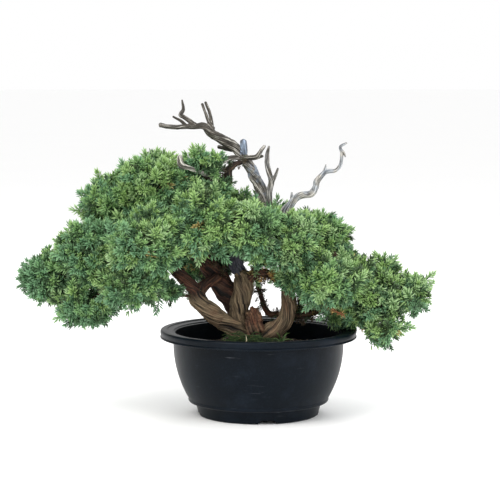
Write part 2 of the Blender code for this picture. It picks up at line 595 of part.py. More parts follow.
def main():
    clear_scene()
    parts = new_collection(OBJECT_NAME)
    cutters = new_collection("cutters")

    plastic = new_material("pot_plastic", (0.028, 0.036, 0.046), 0.42)
    earth = new_material("soil_earth", (0.018, 0.015, 0.012), 0.95)
    bark = new_material("trunk_bark", (0.19, 0.12, 0.075), 0.85)
    red_bark = new_material("branch_bark", (0.13, 0.055, 0.035), 0.85)
    silver = new_material("deadwood_silver", (0.42, 0.37, 0.33), 0.75)
    green = new_material("needle_green", (0.12, 0.24, 0.09), 0.6)
    moss_green = new_material("moss_green", (0.05, 0.13, 0.03), 0.9)
    straw = new_material("straw", (0.62, 0.55, 0.42), 0.8)
    rust = new_material("dead_twig_rust", (0.42, 0.16, 0.05), 0.85)

    pieces = [make_pot(parts, cutters, plastic)]
    pieces += make_screens(parts, plastic)
    soil = make_soil(parts, earth)

    trunk_routes = [LEFT_TRUNK, LEFT_FORK, BACK_TRUNK, MIDDLE_TRUNK, ARCH_BRANCH, BURR,
                    RIGHT_TRUNK] + ROOTS
    trunk, trunk_space = wood_and_its_space("trunk", trunk_routes, 8, 2, parts, cutters, bark)
    spaces = [trunk_space]
    fit_around(soil, spaces)
    pieces += [trunk, soil]

    pieces += make_ground_cover(soil, trunk_space, parts, cutters, moss_green, straw)

    woods = [
        ("hooked_shoot", [HOOKED_SHOOT], red_bark),
        ("low_branch", [LOW_BRANCH], red_bark),
        ("thin_shoot", [THIN_SHOOT], red_bark),
        ("left_branches", LEFT_BRANCHES, red_bark),
        ("crown_branches", CROWN_BRANCHES, red_bark),
        ("back_branches", BACK_BRANCHES, red_bark),
        ("right_branches", RIGHT_BRANCHES, red_bark),
        ("apex_deadwood", APEX_DEADWOOD, silver),
        ("second_apex", SECOND_APEX, red_bark),
        ("left_deadwood", LEFT_DEADWOOD, silver),
        ("upright_deadwood", UPRIGHT_DEADWOOD, silver),
        ("right_deadwood", RIGHT_DEADWOOD, silver),
        ("orange_twig", [ORANGE_TWIG], rust),
    ]
    for name, routes, material in woods:
        wood, space = wood_and_its_space(name, routes, 6, 1, parts, cutters, material)
        fit_around(wood, spaces)
        spaces.append(space)
        pieces.append(wood)

    for name, centre, radii, seed in PADS:
        pad = lumpy_ball(name, centre, radii, seed, parts)
        pad.data.materials.append(green)
        fit_around(pad, spaces)
        wider = [radius + PAD_GAP for radius in radii]
        spaces.append(mark_as_cutter(lumpy_ball(name + "_space", centre, wider, seed, cutters)))
        pieces.append(pad)

    root = bpy.data.objects.new("tree_place", None)
    parts.objects.link(root)
    bpy.context.view_layer.update()
    low, high = box_of(pieces)
    for thing in list(parts.objects) + list(cutters.objects):
        if thing != root:
            thing.parent = root
    root.location = (-(low[0] + high[0]) / 2, -(low[1] + high[1]) / 2, 0.0)


main()
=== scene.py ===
import math

import bmesh
import bpy
import numpy as np
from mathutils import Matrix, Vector


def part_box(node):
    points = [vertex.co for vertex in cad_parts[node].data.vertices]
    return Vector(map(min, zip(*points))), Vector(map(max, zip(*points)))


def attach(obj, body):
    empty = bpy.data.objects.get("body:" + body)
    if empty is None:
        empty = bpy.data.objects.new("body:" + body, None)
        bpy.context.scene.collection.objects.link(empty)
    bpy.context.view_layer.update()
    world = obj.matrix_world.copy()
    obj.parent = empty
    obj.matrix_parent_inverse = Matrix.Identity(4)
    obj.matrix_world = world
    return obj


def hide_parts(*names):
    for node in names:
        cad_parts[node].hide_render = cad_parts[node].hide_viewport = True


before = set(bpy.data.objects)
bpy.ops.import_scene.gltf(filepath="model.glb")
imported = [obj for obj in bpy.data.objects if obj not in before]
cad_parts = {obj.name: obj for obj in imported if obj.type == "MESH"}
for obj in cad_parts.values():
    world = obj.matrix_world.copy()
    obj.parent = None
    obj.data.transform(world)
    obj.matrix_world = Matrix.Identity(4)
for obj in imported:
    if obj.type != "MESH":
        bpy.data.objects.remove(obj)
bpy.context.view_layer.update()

mm = 0.001
potLow, potHigh = [np.array(corner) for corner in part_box("pot")]
potAxis = (potLow + potHigh) / 2 * (1, 1, 0)  # everything is laid out from here


def placed(name, data):
    made = bpy.data.objects.new(name, data)
    bpy.context.scene.collection.objects.link(made)
    return made


# Camera and light

viewing = {
    "distance": 2.400,      # from the pot's axis
    "height": 0.455,
    "sideways": -0.0114,
    "pitchDown": 5.247,     # degrees
    "lens": 129.0,
}

lighting = {
    "sky": (1.0, 1.0, 1.0),
    "skyStrength": 1.0,
    "floorColour": (0.98, 0.98, 0.978),
    # name, place, size, power, colour
    "lamps": [
        ("key softbox", (-1.1, -1.5, 2.1), 1.5, 44.0, (1.0, 0.98, 0.95)),
        ("fill softbox", (1.6, -1.3, 1.3), 1.6, 15.0, (0.95, 0.98, 1.0)),
        ("back softbox", (0.3, 1.7, 1.9), 1.4, 20.0, (1.0, 1.0, 1.0)),
    ],
}


def makeCamera():
    data = bpy.data.cameras.new("product camera")
    data.lens = viewing["lens"]
    data.sensor_width = 36.0
    camera = placed("product camera", data)
    camera.location = potAxis + (viewing["sideways"], -viewing["distance"], viewing["height"])
    camera.rotation_euler = (math.radians(90 - viewing["pitchDown"]), 0, 0)
    bpy.context.scene.camera = camera


def makeLights():
    world = bpy.data.worlds.new("soft sky")
    bpy.context.scene.world = world
    world.use_nodes = True
    sky = world.node_tree.nodes["Background"]
    sky.inputs["Color"].default_value = (*lighting["sky"], 1)
    sky.inputs["Strength"].default_value = lighting["skyStrength"]
    for name, place, size, power, colour in lighting["lamps"]:
        data = bpy.data.lights.new(name, "AREA")
        data.size = size
        data.energy = power
        data.color = colour
        lamp = placed(name, data)
        lamp.location = place
        toTree = Vector((0, 0, 0.2)) - Vector(place)
        lamp.rotation_euler = toTree.to_track_quat("-Z", "Y").to_euler()


print("camera and light")
makeCamera()
makeLights()

# Node helpers


def linear(colour):
    parts = [part / 255 for part in colour]
    return tuple(part / 12.92 if part < 0.04045 else ((part + 0.055) / 1.055) ** 2.4 for part in parts)


def paint(colour):  # a socket's colour from 0 to 255 values
    return (*linear(colour), 1)


def addNode(tree, kind, settings=None, **inputs):
    made = tree.nodes.new(kind)
    for name, value in (settings or {}).items():
        setattr(made, name, value)
    for name, value in inputs.items():
        socket = made.inputs[int(name[1:])] if name[0] == "i" and name[1:].isdigit() else made.inputs[name]
        if isinstance(value, bpy.types.NodeSocket):
            tree.links.new(value, socket)
        else:
            socket.default_value = value
    return made


def addRamp(tree, factor, stops):
    ramp = addNode(tree, "ShaderNodeValToRGB", i0=factor)
    elements = ramp.color_ramp.elements
    while len(elements) < len(stops):
        elements.new(0.5)
    for element, (position, colour) in zip(elements, stops):
        element.position = position
        element.color = paint(colour)
    return ramp.outputs["Color"]


def mixColours(tree, factor, first, second):
    mix = tree.nodes.new("ShaderNodeMix")
    mix.data_type = "RGBA"
    for index, value in ((0, factor), (6, first), (7, second)):
        if isinstance(value, bpy.types.NodeSocket):
            tree.links.new(value, mix.inputs[index])
        else:
            mix.inputs[index].default_value = value
    return mix.outputs[2]


def maths(tree, operation, first, second):
    return addNode(tree, "ShaderNodeMath", {"operation": operation}, i0=first, i1=second).outputs[0]


def times(tree, first, second):
    return maths(tree, "MULTIPLY", first, second)


def plus(tree, first, second):
    return maths(tree, "ADD", first, second)


def minus(tree, first, second):
    return maths(tree, "SUBTRACT", first, second)


def rescale(tree, value, low, high, newLow=0.0, newHigh=1.0):
    made = addNode(tree, "ShaderNodeMapRange", i0=value, i1=low, i2=high, i3=newLow, i4=newHigh)
    return made.outputs[0]


def newMaterial(name, roughness):
    material = bpy.data.materials.new(name)
    material.use_nodes = True
    tree = material.node_tree
    shader = tree.nodes["Principled BSDF"]
    shader.inputs["Roughness"].default_value = roughness
    return material, tree, shader


def newGroup(name, takes, gives):
    group = bpy.data.node_groups.new(name, "ShaderNodeTree")
    for socketName, start in takes:
        socket = group.interface.new_socket(socketName, in_out="INPUT", socket_type="NodeSocketFloat")
        socket.default_value = start
    for socketName in gives:
        group.interface.new_socket(socketName, in_out="OUTPUT", socket_type="NodeSocketFloat")
    return group, group.nodes.new("NodeGroupInput").outputs, group.nodes.new("NodeGroupOutput").inputs


def useGroup(tree, group, **values):
    made = tree.nodes.new("ShaderNodeGroup")
    made.node_tree = group
    for name, value in values.items():
        made.inputs[name].default_value = value
    return made.outputs


def readValue(tree, name):  # a value kept on the mesh
    return addNode(tree, "ShaderNodeAttribute", {"attribute_name": name}).outputs["Fac"]


def objectPlace(tree):
    return addNode(tree, "ShaderNodeTexCoord").outputs["Object"]


def addNoise(tree, place, scale, detail, **others):
    noise = addNode(tree, "ShaderNodeTexNoise", Vector=place, Scale=scale, Detail=detail, **others)
    return noise.outputs[0]


def addBump(tree, shader, height, strength, distance):
    bump = addNode(tree, "ShaderNodeBump", Strength=strength, Distance=distance, Height=height)
    tree.links.new(bump.outputs[0], shader.inputs["Normal"])


def makeGrainGroup():  # streaks and splits that run along the wood
    group, taken, given = newGroup(
        "wood grain", [("Fineness", 0.5), ("Stretch", 0.1)], ["Streaks", "Splits", "Blotches"])
    grain = addNode(group, "ShaderNodeAttribute", {"attribute_name": "grain"}).outputs["Vector"]
    squash = addNode(group, "ShaderNodeCombineXYZ", i0=1.0, i1=1.0, i2=taken["Stretch"]).outputs[0]
    along = addNode(group, "ShaderNodeVectorMath", {"operation": "MULTIPLY"}, i0=grain, i1=squash)
    along = along.outputs[0]
    fine = addNoise(group, along, taken["Fineness"], 6.0, Roughness=0.7)
    group.links.new(fine, given["Streaks"])
    cells = addNode(group, "ShaderNodeTexVoronoi", {"feature": "DISTANCE_TO_EDGE"}, Vector=along)
    group.links.new(times(group, taken["Fineness"], 0.6), cells.inputs["Scale"])
    group.links.new(rescale(group, cells.outputs[0], 0.0, 0.16, 1.0, 0.0), given["Splits"])
    group.links.new(addNoise(group, grain, 0.07, 3.0), given["Blotches"])
    return group


def makeDustGroup():  # pale dust and scuffs on moulded plastic
    group, taken, given = newGroup("dust and scuffs", [("Amount", 0.5), ("Size", 40.0)], ["Dust", "Scuffs"])
    place = objectPlace(group)
    dust = rescale(group, addNoise(group, place, taken["Size"], 8.0, Roughness=0.65), 0.5, 0.78)
    group.links.new(times(group, dust, taken["Amount"]), given["Dust"])
    slide = addNode(group, "ShaderNodeMapping", Vector=place, Scale=(30.0, 30.0, 420.0)).outputs[0]
    fine = rescale(group, addNoise(group, slide, 1.0, 4.0, Roughness=0.6), 0.62, 0.74)
    where = rescale(group, addNoise(group, place, 18.0, 2.0), 0.52, 0.66)
    group.links.new(times(group, fine, where), given["Scuffs"])
    return group


grainGroup = makeGrainGroup()
dustGroup = makeDustGroup()

# Numbers that vary smoothly over space


def hashed(cell, seed):
    mask = 0xFFFFFFFF
    x, y, z = cell.T
    code = (x * 374761393 + y * 668265263 + z * 1440662683 + seed * 974634777) & mask
    code = ((code ^ (code >> 13)) * 1274126177) & mask
    return ((code ^ (code >> 16)) & 0xFFFF) / 65535.0


def softNoise(points, seed=0):  # -1 to 1
    cell = np.floor(points).astype(np.int64)
    part = points - cell
    part = part * part * (3 - 2 * part)
    total = np.zeros(len(points))
    for corner in np.ndindex(2, 2, 2):
        share = np.ones(len(points))
        for axis in range(3):
            share *= part[:, axis] if corner[axis] else 1 - part[:, axis]
        total += share * hashed(cell + np.array(corner), seed)
    return total * 2 - 1


def layeredNoise(points, seed=0, layers=3):
    total = np.zeros(len(points))
    for layer in range(layers):
        total += softNoise(points * 2**layer + 17.3 * layer, seed + layer) / 2**layer
    return total / (2 - 2 ** (1 - layers))


# Mesh helpers


def meshFrom(name, points, faces, smooth=True):  # points in millimetres from the pot's axis
    mesh = bpy.data.meshes.new(name)
    corners = faces.shape[1]
    mesh.vertices.add(len(points))
    mesh.vertices.foreach_set("co", (points * mm + potAxis).astype(np.float32).ravel())
    mesh.loops.add(faces.size)
    mesh.loops.foreach_set("vertex_index", faces.astype(np.int32).ravel())
    mesh.polygons.add(len(faces))
    mesh.polygons.foreach_set("loop_start", np.arange(0, faces.size, corners, dtype=np.int32))
    mesh.polygons.foreach_set("use_smooth", np.full(len(faces), smooth))
    mesh.update(calc_edges=True)
    return mesh


def setValues(mesh, name, values, kind="FLOAT"):
    attribute = mesh.attributes.get(name) or mesh.attributes.new(name, kind, "POINT")
    attribute.data.foreach_set("value" if kind == "FLOAT" else "vector", values.astype(np.float32).ravel())


def addPiece(name, mesh, material, replaced):
    piece = placed(name, mesh)
    mesh.materials.clear()
    mesh.materials.append(material)
    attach(piece, "root")
    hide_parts(*replaced)


def pointsOf(mesh):
    found = np.empty(len(mesh.vertices) * 3, np.float32)
    mesh.vertices.foreach_get("co", found)
    return found.reshape(-1, 3).astype(float)


def normalsOf(mesh):
    found = np.empty(len(mesh.vertices) * 3, np.float32)
    mesh.vertex_normals.foreach_get("vector", found)
    return found.reshape(-1, 3).astype(float)


def settled(piece):  # a plain mesh with the modifiers applied
    graph = bpy.context.evaluated_depsgraph_get()
    mesh = bpy.data.meshes.new_from_object(piece.evaluated_get(graph))
    old = piece.data
    bpy.data.objects.remove(piece)
    bpy.data.meshes.remove(old)
    return mesh


# Pot: turned in satin black plastic, with a rounded lip, foot notches and drain holes

potMake = {
    "rimRadius": 132.5,
    "height": 116.0,
    "lipHeight": 11.0,
    "bandInner": 116.0,
    "bodyTop": 115.0,
    "bellyTop": 98.0,      # where the belly starts to curve in
    "bellyHeight": 75.0,   # from there down to the shoulder above the foot
    "bellyTuck": 20.2,     # how far it has come in at the shoulder
    "bellyCurve": 2.1,
    "bellyRings": 28,
    "footTop": 84.5,
    "footRadius": 81.5,
    "footHeight": 17.0,
    "footRingInner": 75.0,
    "floorUnderside": 6.0,
    "floorTop": 9.0,
    "wall": 3.0,
    "steps": 176,
    "notch": (26.0, 20.0, 5.5),
    "notchTop": 17.0,
    "notchAngles": (-82.0, 8.0, 98.0, 188.0),
    "drainRadius": 7.0,
    "drainCircle": 46.0,
    "drainAngles": (45.0, 135.0, 225.0, 315.0),
    "colour": (4, 13, 22),
    "dustColour": (42, 53, 68),
    "roughness": 0.36,
}


def arc(centreRadius, centreHeight, radius, start, end, count=6):
    turns = [math.radians(start + (end - start) * n / count) for n in range(count + 1)]
    return [(centreRadius + radius * math.cos(turn), centreHeight + radius * math.sin(turn))
            for turn in turns]


def bellyRadius(fraction):  # 0 under the lip, 1 at the shoulder above the foot
    return potMake["bodyTop"] - potMake["bellyTuck"] * fraction ** potMake["bellyCurve"]


def potSection():
    p = potMake
    top, rim, lipFoot = p["height"], p["rimRadius"], p["height"] - p["lipHeight"]
    shares = [n / p["bellyRings"] for n in range(p["bellyRings"] + 1)]
    belly = [(bellyRadius(share), p["bellyTop"] - p["bellyHeight"] * share) for share in shares]
    lip = arc(p["bandInner"] + 8.2, top - 0.8, 0.8, 180, 90, 3)
    lip += [(rim - 6.0, top)]
    lip += arc(rim - 3.0, top - 3.0, 3.0, 90, 0, 7)
    lip += [(rim - 0.5, lipFoot + 3.2), (rim - 0.9, lipFoot + 2.5)]
    lip += arc(rim - 1.0, lipFoot + 1.2, 1.2, 60, -90, 6)  # bead along the lip's lower edge
    lip += [(rim - 4.4, lipFoot), (rim - 5.0, lipFoot + 4.0), (p["bodyTop"] + 1.2, lipFoot + 4.2)]
    lip += [(p["bodyTop"] + 0.5, lipFoot + 3.4)]
    foot = arc(p["footTop"] + 7.4, p["footHeight"] + 4.2, 3.2, 0, -90, 5)
    foot += [(p["footTop"] + 2.2, p["footHeight"] + 0.8), (p["footTop"] + 0.6, p["footHeight"] - 0.8)]
    foot += [(p["footTop"] - 0.6, p["footHeight"] - 5.0), (p["footRadius"] + 0.6, 5.0)]
    foot += arc(p["footRadius"] - 2.4, 2.6, 2.6, 0, -90, 5)
    foot += [(p["footRingInner"], 0.0), (p["footRingInner"] - 1.0, p["floorUnderside"])]
    foot += [(0.0, p["floorUnderside"])]
    inside = [(0.0, p["floorTop"]), (p["footRadius"] - p["wall"], p["floorTop"])]
    inside += [(p["footTop"] - p["wall"], p["footHeight"] + 1.0)]
    inside += [(p["footTop"] + 4.5, p["footHeight"] + 4.5)]
    inside += [(radius - p["wall"], height + 0.6) for radius, height in reversed(belly)]
    inside += [(p["bodyTop"] - p["wall"] + 0.4, top - 4.4)]
    inside += arc(p["bandInner"] - 0.2, top - 3.6, 1.6, 180, 90, 4)
    inside += [(p["bandInner"] + 6.0, top - 1.5), (p["bandInner"] + 7.2, top - 1.3)]
    return inside + lip + belly + foot


def cutWith(piece, cutter):
    cut = piece.modifiers.new("cut", "BOOLEAN")
    cut.operation = "DIFFERENCE"
    cut.object = cutter


def makePotMesh():
    section = potSection()
    line = bpy.data.meshes.new("pot section")
    line.from_pydata([(radius * mm, 0, height * mm) for radius, height in section],
                     [(n, n + 1) for n in range(len(section) - 1)], [])
    pot = placed("pot blank", line)
    turned = pot.modifiers.new("turned", "SCREW")
    turned.steps = turned.render_steps = potMake["steps"]
    turned.use_merge_vertices = True
    turned.merge_threshold = 0.00001
    cutters = []
    for angle in potMake["notchAngles"] + potMake["drainAngles"]:
        turn = math.radians(angle)
        shape = bmesh.new()
        if angle in potMake["notchAngles"]:
            wide, deep, high = potMake["notch"]
            bmesh.ops.create_cube(shape, size=1.0)
            bmesh.ops.scale(shape, vec=Vector((deep, wide, high * 2)) * mm, verts=shape.verts)
            slope = (wide - potMake["notchTop"]) / 2 * mm
            for corner in shape.verts:
                corner.co.y -= math.copysign(slope, corner.co.y * corner.co.z)
            reach, level = potMake["footRadius"], 0.0
        else:
            bmesh.ops.create_cone(shape, cap_ends=True, segments=40, depth=20 * mm,
                                  radius1=potMake["drainRadius"] * mm, radius2=potMake["drainRadius"] * mm)
            reach, level = potMake["drainCircle"], potMake["floorUnderside"]
        mesh = bpy.data.meshes.new("cutter")
        shape.to_mesh(mesh)
        shape.free()
        cutter = placed("cutter", mesh)
        cutter.location = (reach * math.cos(turn) * mm, reach * math.sin(turn) * mm, level * mm)
        cutter.rotation_euler.z = turn
        cutWith(pot, cutter)
        cutters.append(cutter)
    mesh = settled(pot)
    for cutter in cutters:
        bpy.data.objects.remove(cutter)
    mesh.vertices.foreach_set("co", (pointsOf(mesh) + potAxis).astype(np.float32).ravel())
    mesh.shade_smooth()
    mesh.set_sharp_from_angle(angle=math.radians(38))
    mesh.update()
    return mesh


plasticLook = {
    "shine": 0.11,
    "dust": {"Amount": 0.22, "Size": 26.0},
    "specks": {"Amount": 0.16, "Size": 420.0},
    "scuffs": 0.35,
    "scuffColour": (120, 124, 130),
    "mottleSize": 9.0,
    "mouldGrain": 900.0,
}


def makePlastic(name, colour, dustColour, roughness):
    material, tree, shader = newMaterial(name, roughness)
    shader.inputs["Specular IOR Level"].default_value = plasticLook["shine"]
    dust = useGroup(tree, dustGroup, **plasticLook["dust"])
    fine = useGroup(tree, dustGroup, **plasticLook["specks"])
    place = objectPlace(tree)
    mottle = addNoise(tree, place, plasticLook["mottleSize"], 3.0)
    dark = tuple(part * 0.72 for part in colour)
    base = addRamp(tree, mottle, [(0.3, dark), (0.7, colour)])
    dusty = mixColours(tree, dust["Dust"], base, paint(dustColour))
    dusty = mixColours(tree, fine["Dust"], dusty, paint(dustColour))
    scuffed = mixColours(tree, times(tree, dust["Scuffs"], plasticLook["scuffs"]), dusty,
                         paint(plasticLook["scuffColour"]))
    tree.links.new(scuffed, shader.inputs["Base Color"])
    rough = plus(tree, times(tree, mottle, 0.16), roughness - 0.05)
    rough = plus(tree, rough, times(tree, dust["Scuffs"], 0.25))
    tree.links.new(rough, shader.inputs["Roughness"])
    grain = addNoise(tree, place, plasticLook["mouldGrain"], 2.0)
    height = plus(tree, grain, times(tree, dust["Scuffs"], -1.5))
    addBump(tree, shader, height, 0.12, 0.0004)
    return material


print("pot")
plastic = makePlastic("satin pot plastic", potMake["colour"], potMake["dustColour"], potMake["roughness"])
addPiece("turned_pot", makePotMesh(), plastic, ["pot"])
screenPlastic = makePlastic("drain screen plastic", (34, 38, 40), (80, 84, 86), 0.55)
for number in range(1, 5):
    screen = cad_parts[f"drain_screen_{number}"]
    screen.data.materials.clear()
    screen.data.materials.append(screenPlastic)

# Wood: every route is x, y, z and radius in millimetres from the pot's axis

trunkRoutes = {
    "left trunk": [(-4, 2, 92, 11), (-14, -8, 103, 12), (-28, -15, 115, 11), (-44, -20, 127, 11),
                   (-61, -24, 139, 12), (-75, -26, 152, 11), (-81, -25, 163, 11.5), (-76, -20, 174, 8),
                   (-65, -12, 181, 6), (-54, -3, 186, 6)],
    "left fork": [(-79, -25, 160, 10), (-88, -26, 174, 9), (-101, -28, 188, 8.5), (-117, -32, 205, 7)],
    "back trunk": [(-6, 10, 92, 13), (-14, 10, 108, 14), (-24, 9, 128, 13), (-33, 11, 150, 14),
                   (-47, 13, 170, 15), (-62, 12, 190, 13), (-74, 10, 212, 10), (-80, 7, 230, 8.5)],
    "middle trunk": [(-4, 0, 92, 14), (-14, -4, 106, 11.5), (-25, -6, 124, 10), (-28, -6, 136, 11),
                     (-24, -6, 152, 12.6), (-21, -5, 168, 13), (-20, -4, 182, 12), (-22, -1, 192, 9)],
    "arch branch": [(-17, -4, 182, 8), (-8, -7, 188, 7), (4, -11, 192, 6), (15, -15, 191, 6),
                    (29, -20, 183, 5.5), (45, -28, 180, 5), (66, -36, 182, 4)],
    "burr": [(-3, -12, 100, 12), (-4, -22, 112, 11), (-5, -24, 125, 10.5), (-6, -22, 135, 9.5),
             (-7, -17, 143, 7)],
    "right trunk": [(-2, -2, 94, 12), (4, -12, 106, 12), (14, -18, 114, 11.5), (27, -20, 121, 11),
                    (37, -18, 134, 10.5), (41, -15, 150, 10), (40, -10, 166, 9.5), (39, -4, 184, 9),
                    (43, 2, 206, 8.5), (50, 6, 228, 7)],
    "root front left": [(-8, -8, 98, 9), (-26, -22, 102, 6), (-44, -34, 98, 4.5), (-60, -44, 92, 3),
                        (-70, -50, 86, 2)],
    "root front": [(-4, -10, 98, 9), (-12, -30, 102, 5.5), (-18, -46, 98, 4.5), (-26, -60, 91, 3),
                   (-30, -70, 85, 2)],
    "root right": [(2, -6, 98, 9), (22, -26, 99, 6), (38, -38, 94, 4), (54, -46, 87, 2.5)],
    "root back right": [(2, 6, 98, 10), (26, 20, 99, 6), (44, 32, 92, 4), (58, 40, 85, 2.5)],
    "root back": [(-4, 12, 98, 10), (-14, 34, 99, 6), (-22, 52, 91, 4), (-28, 66, 84, 2.5)],
    "root left": [(-8, 6, 98, 10), (-32, 16, 100, 6), (-52, 24, 92, 4), (-66, 28, 85, 2.5)],
}

branchRoutes = {
    "hooked_shoot": [[(33, -4, 136, 4.5), (26, 8, 133, 4.5), (17, 15, 134, 4.2), (9, 18, 142, 4),
                      (4, 20, 156, 3.6), (0, 22, 172, 3), (-4, 24, 190, 2.5)]],
    "low_branch": [[(38, -10, 140, 5.5), (50, 2, 135, 5.5), (66, 10, 135, 5), (84, 14, 139, 4.5),
                    (104, 17, 142, 3.8), (122, 19, 136, 3)]],
    "thin_shoot": [[(-84, -25, 163, 3), (-98, -27, 164, 2.2), (-115, -30, 167, 2), (-134, -40, 176, 1.8)]],
    "left_branches": [
        [(-116, -32, 204, 6.5), (-140, -40, 214, 6), (-170, -48, 216, 5.2), (-200, -48, 212, 4.4),
         (-235, -36, 200, 3.5), (-268, -20, 188, 2.6)],
        [(-140, -40, 214, 5), (-150, -60, 226, 4), (-148, -82, 238, 3)],
        [(-170, -48, 216, 4.4), (-182, -62, 200, 3.6), (-204, -52, 176, 2.8), (-222, -42, 160, 2.2)]],
    "crown_branches": [
        [(-80, 7, 232, 8), (-90, 2, 250, 7.4), (-106, -4, 274, 6), (-126, -9, 294, 4.6), (-140, -10, 312, 3)],
        [(-98, -1, 262, 5), (-88, -8, 288, 4.2), (-76, -14, 310, 3)],
        [(-106, -4, 274, 5), (-140, 2, 279, 4.4), (-172, 8, 282, 3.6), (-200, 10, 286, 2.6)],
        [(-90, 2, 250, 5), (-78, -26, 256, 4.2), (-71, -58, 264, 3)]],
    "back_branches": [
        [(-62, 14, 190, 8), (-70, 36, 204, 6.5), (-88, 56, 226, 5.5), (-106, 66, 256, 4), (-114, 70, 276, 3)],
        [(-88, 56, 226, 5), (-130, 64, 222, 4.4), (-180, 66, 214, 3.6), (-224, 60, 210, 2.6)],
        [(-70, 36, 204, 5), (-72, 54, 200, 3.6)],
        [(-74, 42, 209, 5), (-40, 54, 226, 4.4), (-4, 52, 248, 3)]],
    "right_branches": [
        [(50, 6, 226, 6.6), (68, 2, 232, 6), (92, -6, 222, 5.4), (122, -14, 200, 4.8),
         (150, -16, 176, 4), (178, -10, 166, 3.4), (204, -5, 163, 2.4)],
        [(56, 5, 230, 5), (48, -16, 238, 4), (41, -36, 242, 3)],
        [(68, 2, 232, 4.6), (80, 30, 226, 4), (86, 60, 218, 3.4), (86, 78, 215, 2.4)],
        [(92, -6, 222, 4.4), (98, -24, 204, 3.8), (94, -36, 190, 2.6)],
        [(150, -16, 176, 3.2), (164, -24, 150, 2.8), (170, -30, 132, 2)],
        [(52, 6, 229, 4.6), (24, -28, 246, 4), (-6, -54, 256, 2.8)]],
    "second_apex": [[(-84, 4, 246, 6), (-64, 4, 270, 6), (-48, 3, 292, 6), (-42, 2, 312, 6), (-40, 1, 330, 5),
                     (-32, 1, 337, 4), (-22, 2, 341, 3)]],
}

deadwoodRoutes = {
    "apex_deadwood": [
        [(-24, 0, 190, 8), (-30, 2, 203, 9), (-24, 6, 220, 8), (-8, 10, 248, 7.5), (4, 11, 272, 7.4),
         (5, 10, 291, 7), (-1, 10, 314, 6.8), (-12, 8, 334, 6.4), (-21, 6, 346, 6),
         (-28, 4, 356, 6), (-37, 2, 364, 6), (-51, -1, 373, 5.8), (-65, -4, 382, 5),
         (-74, -6, 389, 4.2), (-92, -9, 389, 3.4), (-109, -12, 388, 3), (-122, -14, 389, 2.8),
         (-131, -16, 391, 2.8)],
        [(-96, -10, 389, 2.6), (-103, -11, 396, 1.8), (-114, -12, 402, 1.4)],
        [(-85, -8, 391, 3.2), (-92, -9, 396, 2.6), (-98, -9, 400, 2.4), (-104, -9, 404, 2.6),
         (-100, -9, 411, 2.2), (-102, -9, 424, 1.2)],
        [(-62, -4, 385, 3.4), (-67, -4, 395, 2.2), (-71, -5, 407, 1.8), (-75, -6, 419, 1.6)],
        [(-62, -2, 386, 3.4), (-63, 0, 396, 2.2), (-66, 1, 408, 2), (-71, 1, 421, 1.7)],
        [(-30, 5, 357, 3), (-40, 4, 358, 2.8), (-54, 2, 361, 2.2)],
        [(-20, 4, 345, 4.2), (-20, 3, 357, 4), (-20, 2, 369, 3.6)],
        [(-17, 7, 341, 4), (-26, 2, 346, 3), (-38, -2, 346, 3), (-47, -4, 341, 2.2)],
        [(-24, 2, 345, 3), (-12, -2, 347, 3.2), (-2, -5, 348, 3.2), (4, -6, 357, 2.6), (8, -7, 363, 1.8)],
        [(-4, -4, 347, 2.6), (6, -5, 349, 1.6)]],
    "left_deadwood": [[(-52, -22, 312, 3), (-60, -26, 320, 3.2), (-76, -30, 328, 3), (-92, -34, 335, 3),
                       (-102, -36, 340, 4), (-104, -36, 350, 3)]],
    "upright_deadwood": [
        [(12, 6, 268, 3.6), (14, -2, 284, 4), (15, -6, 300, 4), (17, -6, 315, 3.8), (12, -6, 335, 3.4),
         (12, -6, 350, 2.8), (14, -6, 362, 1.6)],
        [(17, -6, 312, 3), (22, -8, 322, 2.4), (26, -9, 333, 1.4)]],
    "right_deadwood": [
        [(46, 6, 226, 5), (38, 4, 246, 5.5), (32, 1, 268, 5.6), (42, 0, 284, 5.2), (54, 2, 295, 4.4),
         (71, 4, 298, 4.4), (77, 5, 307, 4), (79, 6, 316, 4), (90, 8, 327, 3.2), (104, 10, 329, 2.6),
         (111, 11, 338, 2.4), (112, 12, 352, 2), (110, 12, 361, 2), (119, 12, 366, 1.2)],
        [(88, 8, 326, 2.4), (91, 8, 337, 1.2)],
        [(45, 1, 288, 3), (45, 3, 300, 1.2)],
        [(111, 12, 357, 1.7), (115, 12, 353, 1.3), (117, 12, 347, 0.9)]],
}

woodMake = {
    "voxel": 0.95,         # fineness of the trunk's skin
    "branchVoxel": 0.85,
    "deadwoodVoxel": 0.6,
    "wander": 0.16,        # how far a limb strays from its route, as a share of its radius
    "swell": 0.09,         # how much it swells and thins on the way
    "twist": 0.035,        # radians of turn for each millimetre along
    "furrow": 2.1,         # deepest furrow in the bark
    "level": 0.25,         # relief that lies level with the smooth limb
    "knobs": 0.66,         # lumps on the roughest limbs, as a share of the radius
    "shadedYoungRun": 14.0,      # height over which old bark gives way to redder young bark, darkened as painted shade under the crown
}
noShadedYoung = 900  # a height above the whole tree

# how red, how pale and how furrowed each limb is, and the height where it turns to redder young wood with
# painted shade under the crown
limbLooks = {
    "left trunk": (0.24, 0.44, 1.1, 158),
    "left fork": (0.9, 0.24, 1.0, noShadedYoung),
    "back trunk": (0.95, 0.2, 1.0, noShadedYoung),
    "middle trunk": (0.08, 0.46, 1.15, noShadedYoung),
    "arch branch": (0.75, 0.42, 0.8, noShadedYoung),
    "burr": (0.7, 0.5, 1.8, noShadedYoung),
    "right trunk": (0.26, 0.42, 1.1, 172),
}
rootLook = (0.4, 0.4, 0.7, noShadedYoung)
branchLooks = {"second_apex": (0.5, 0.08, 1.1, noShadedYoung)}
usualLook = (0.75, 0.25, 0.8, noShadedYoung)


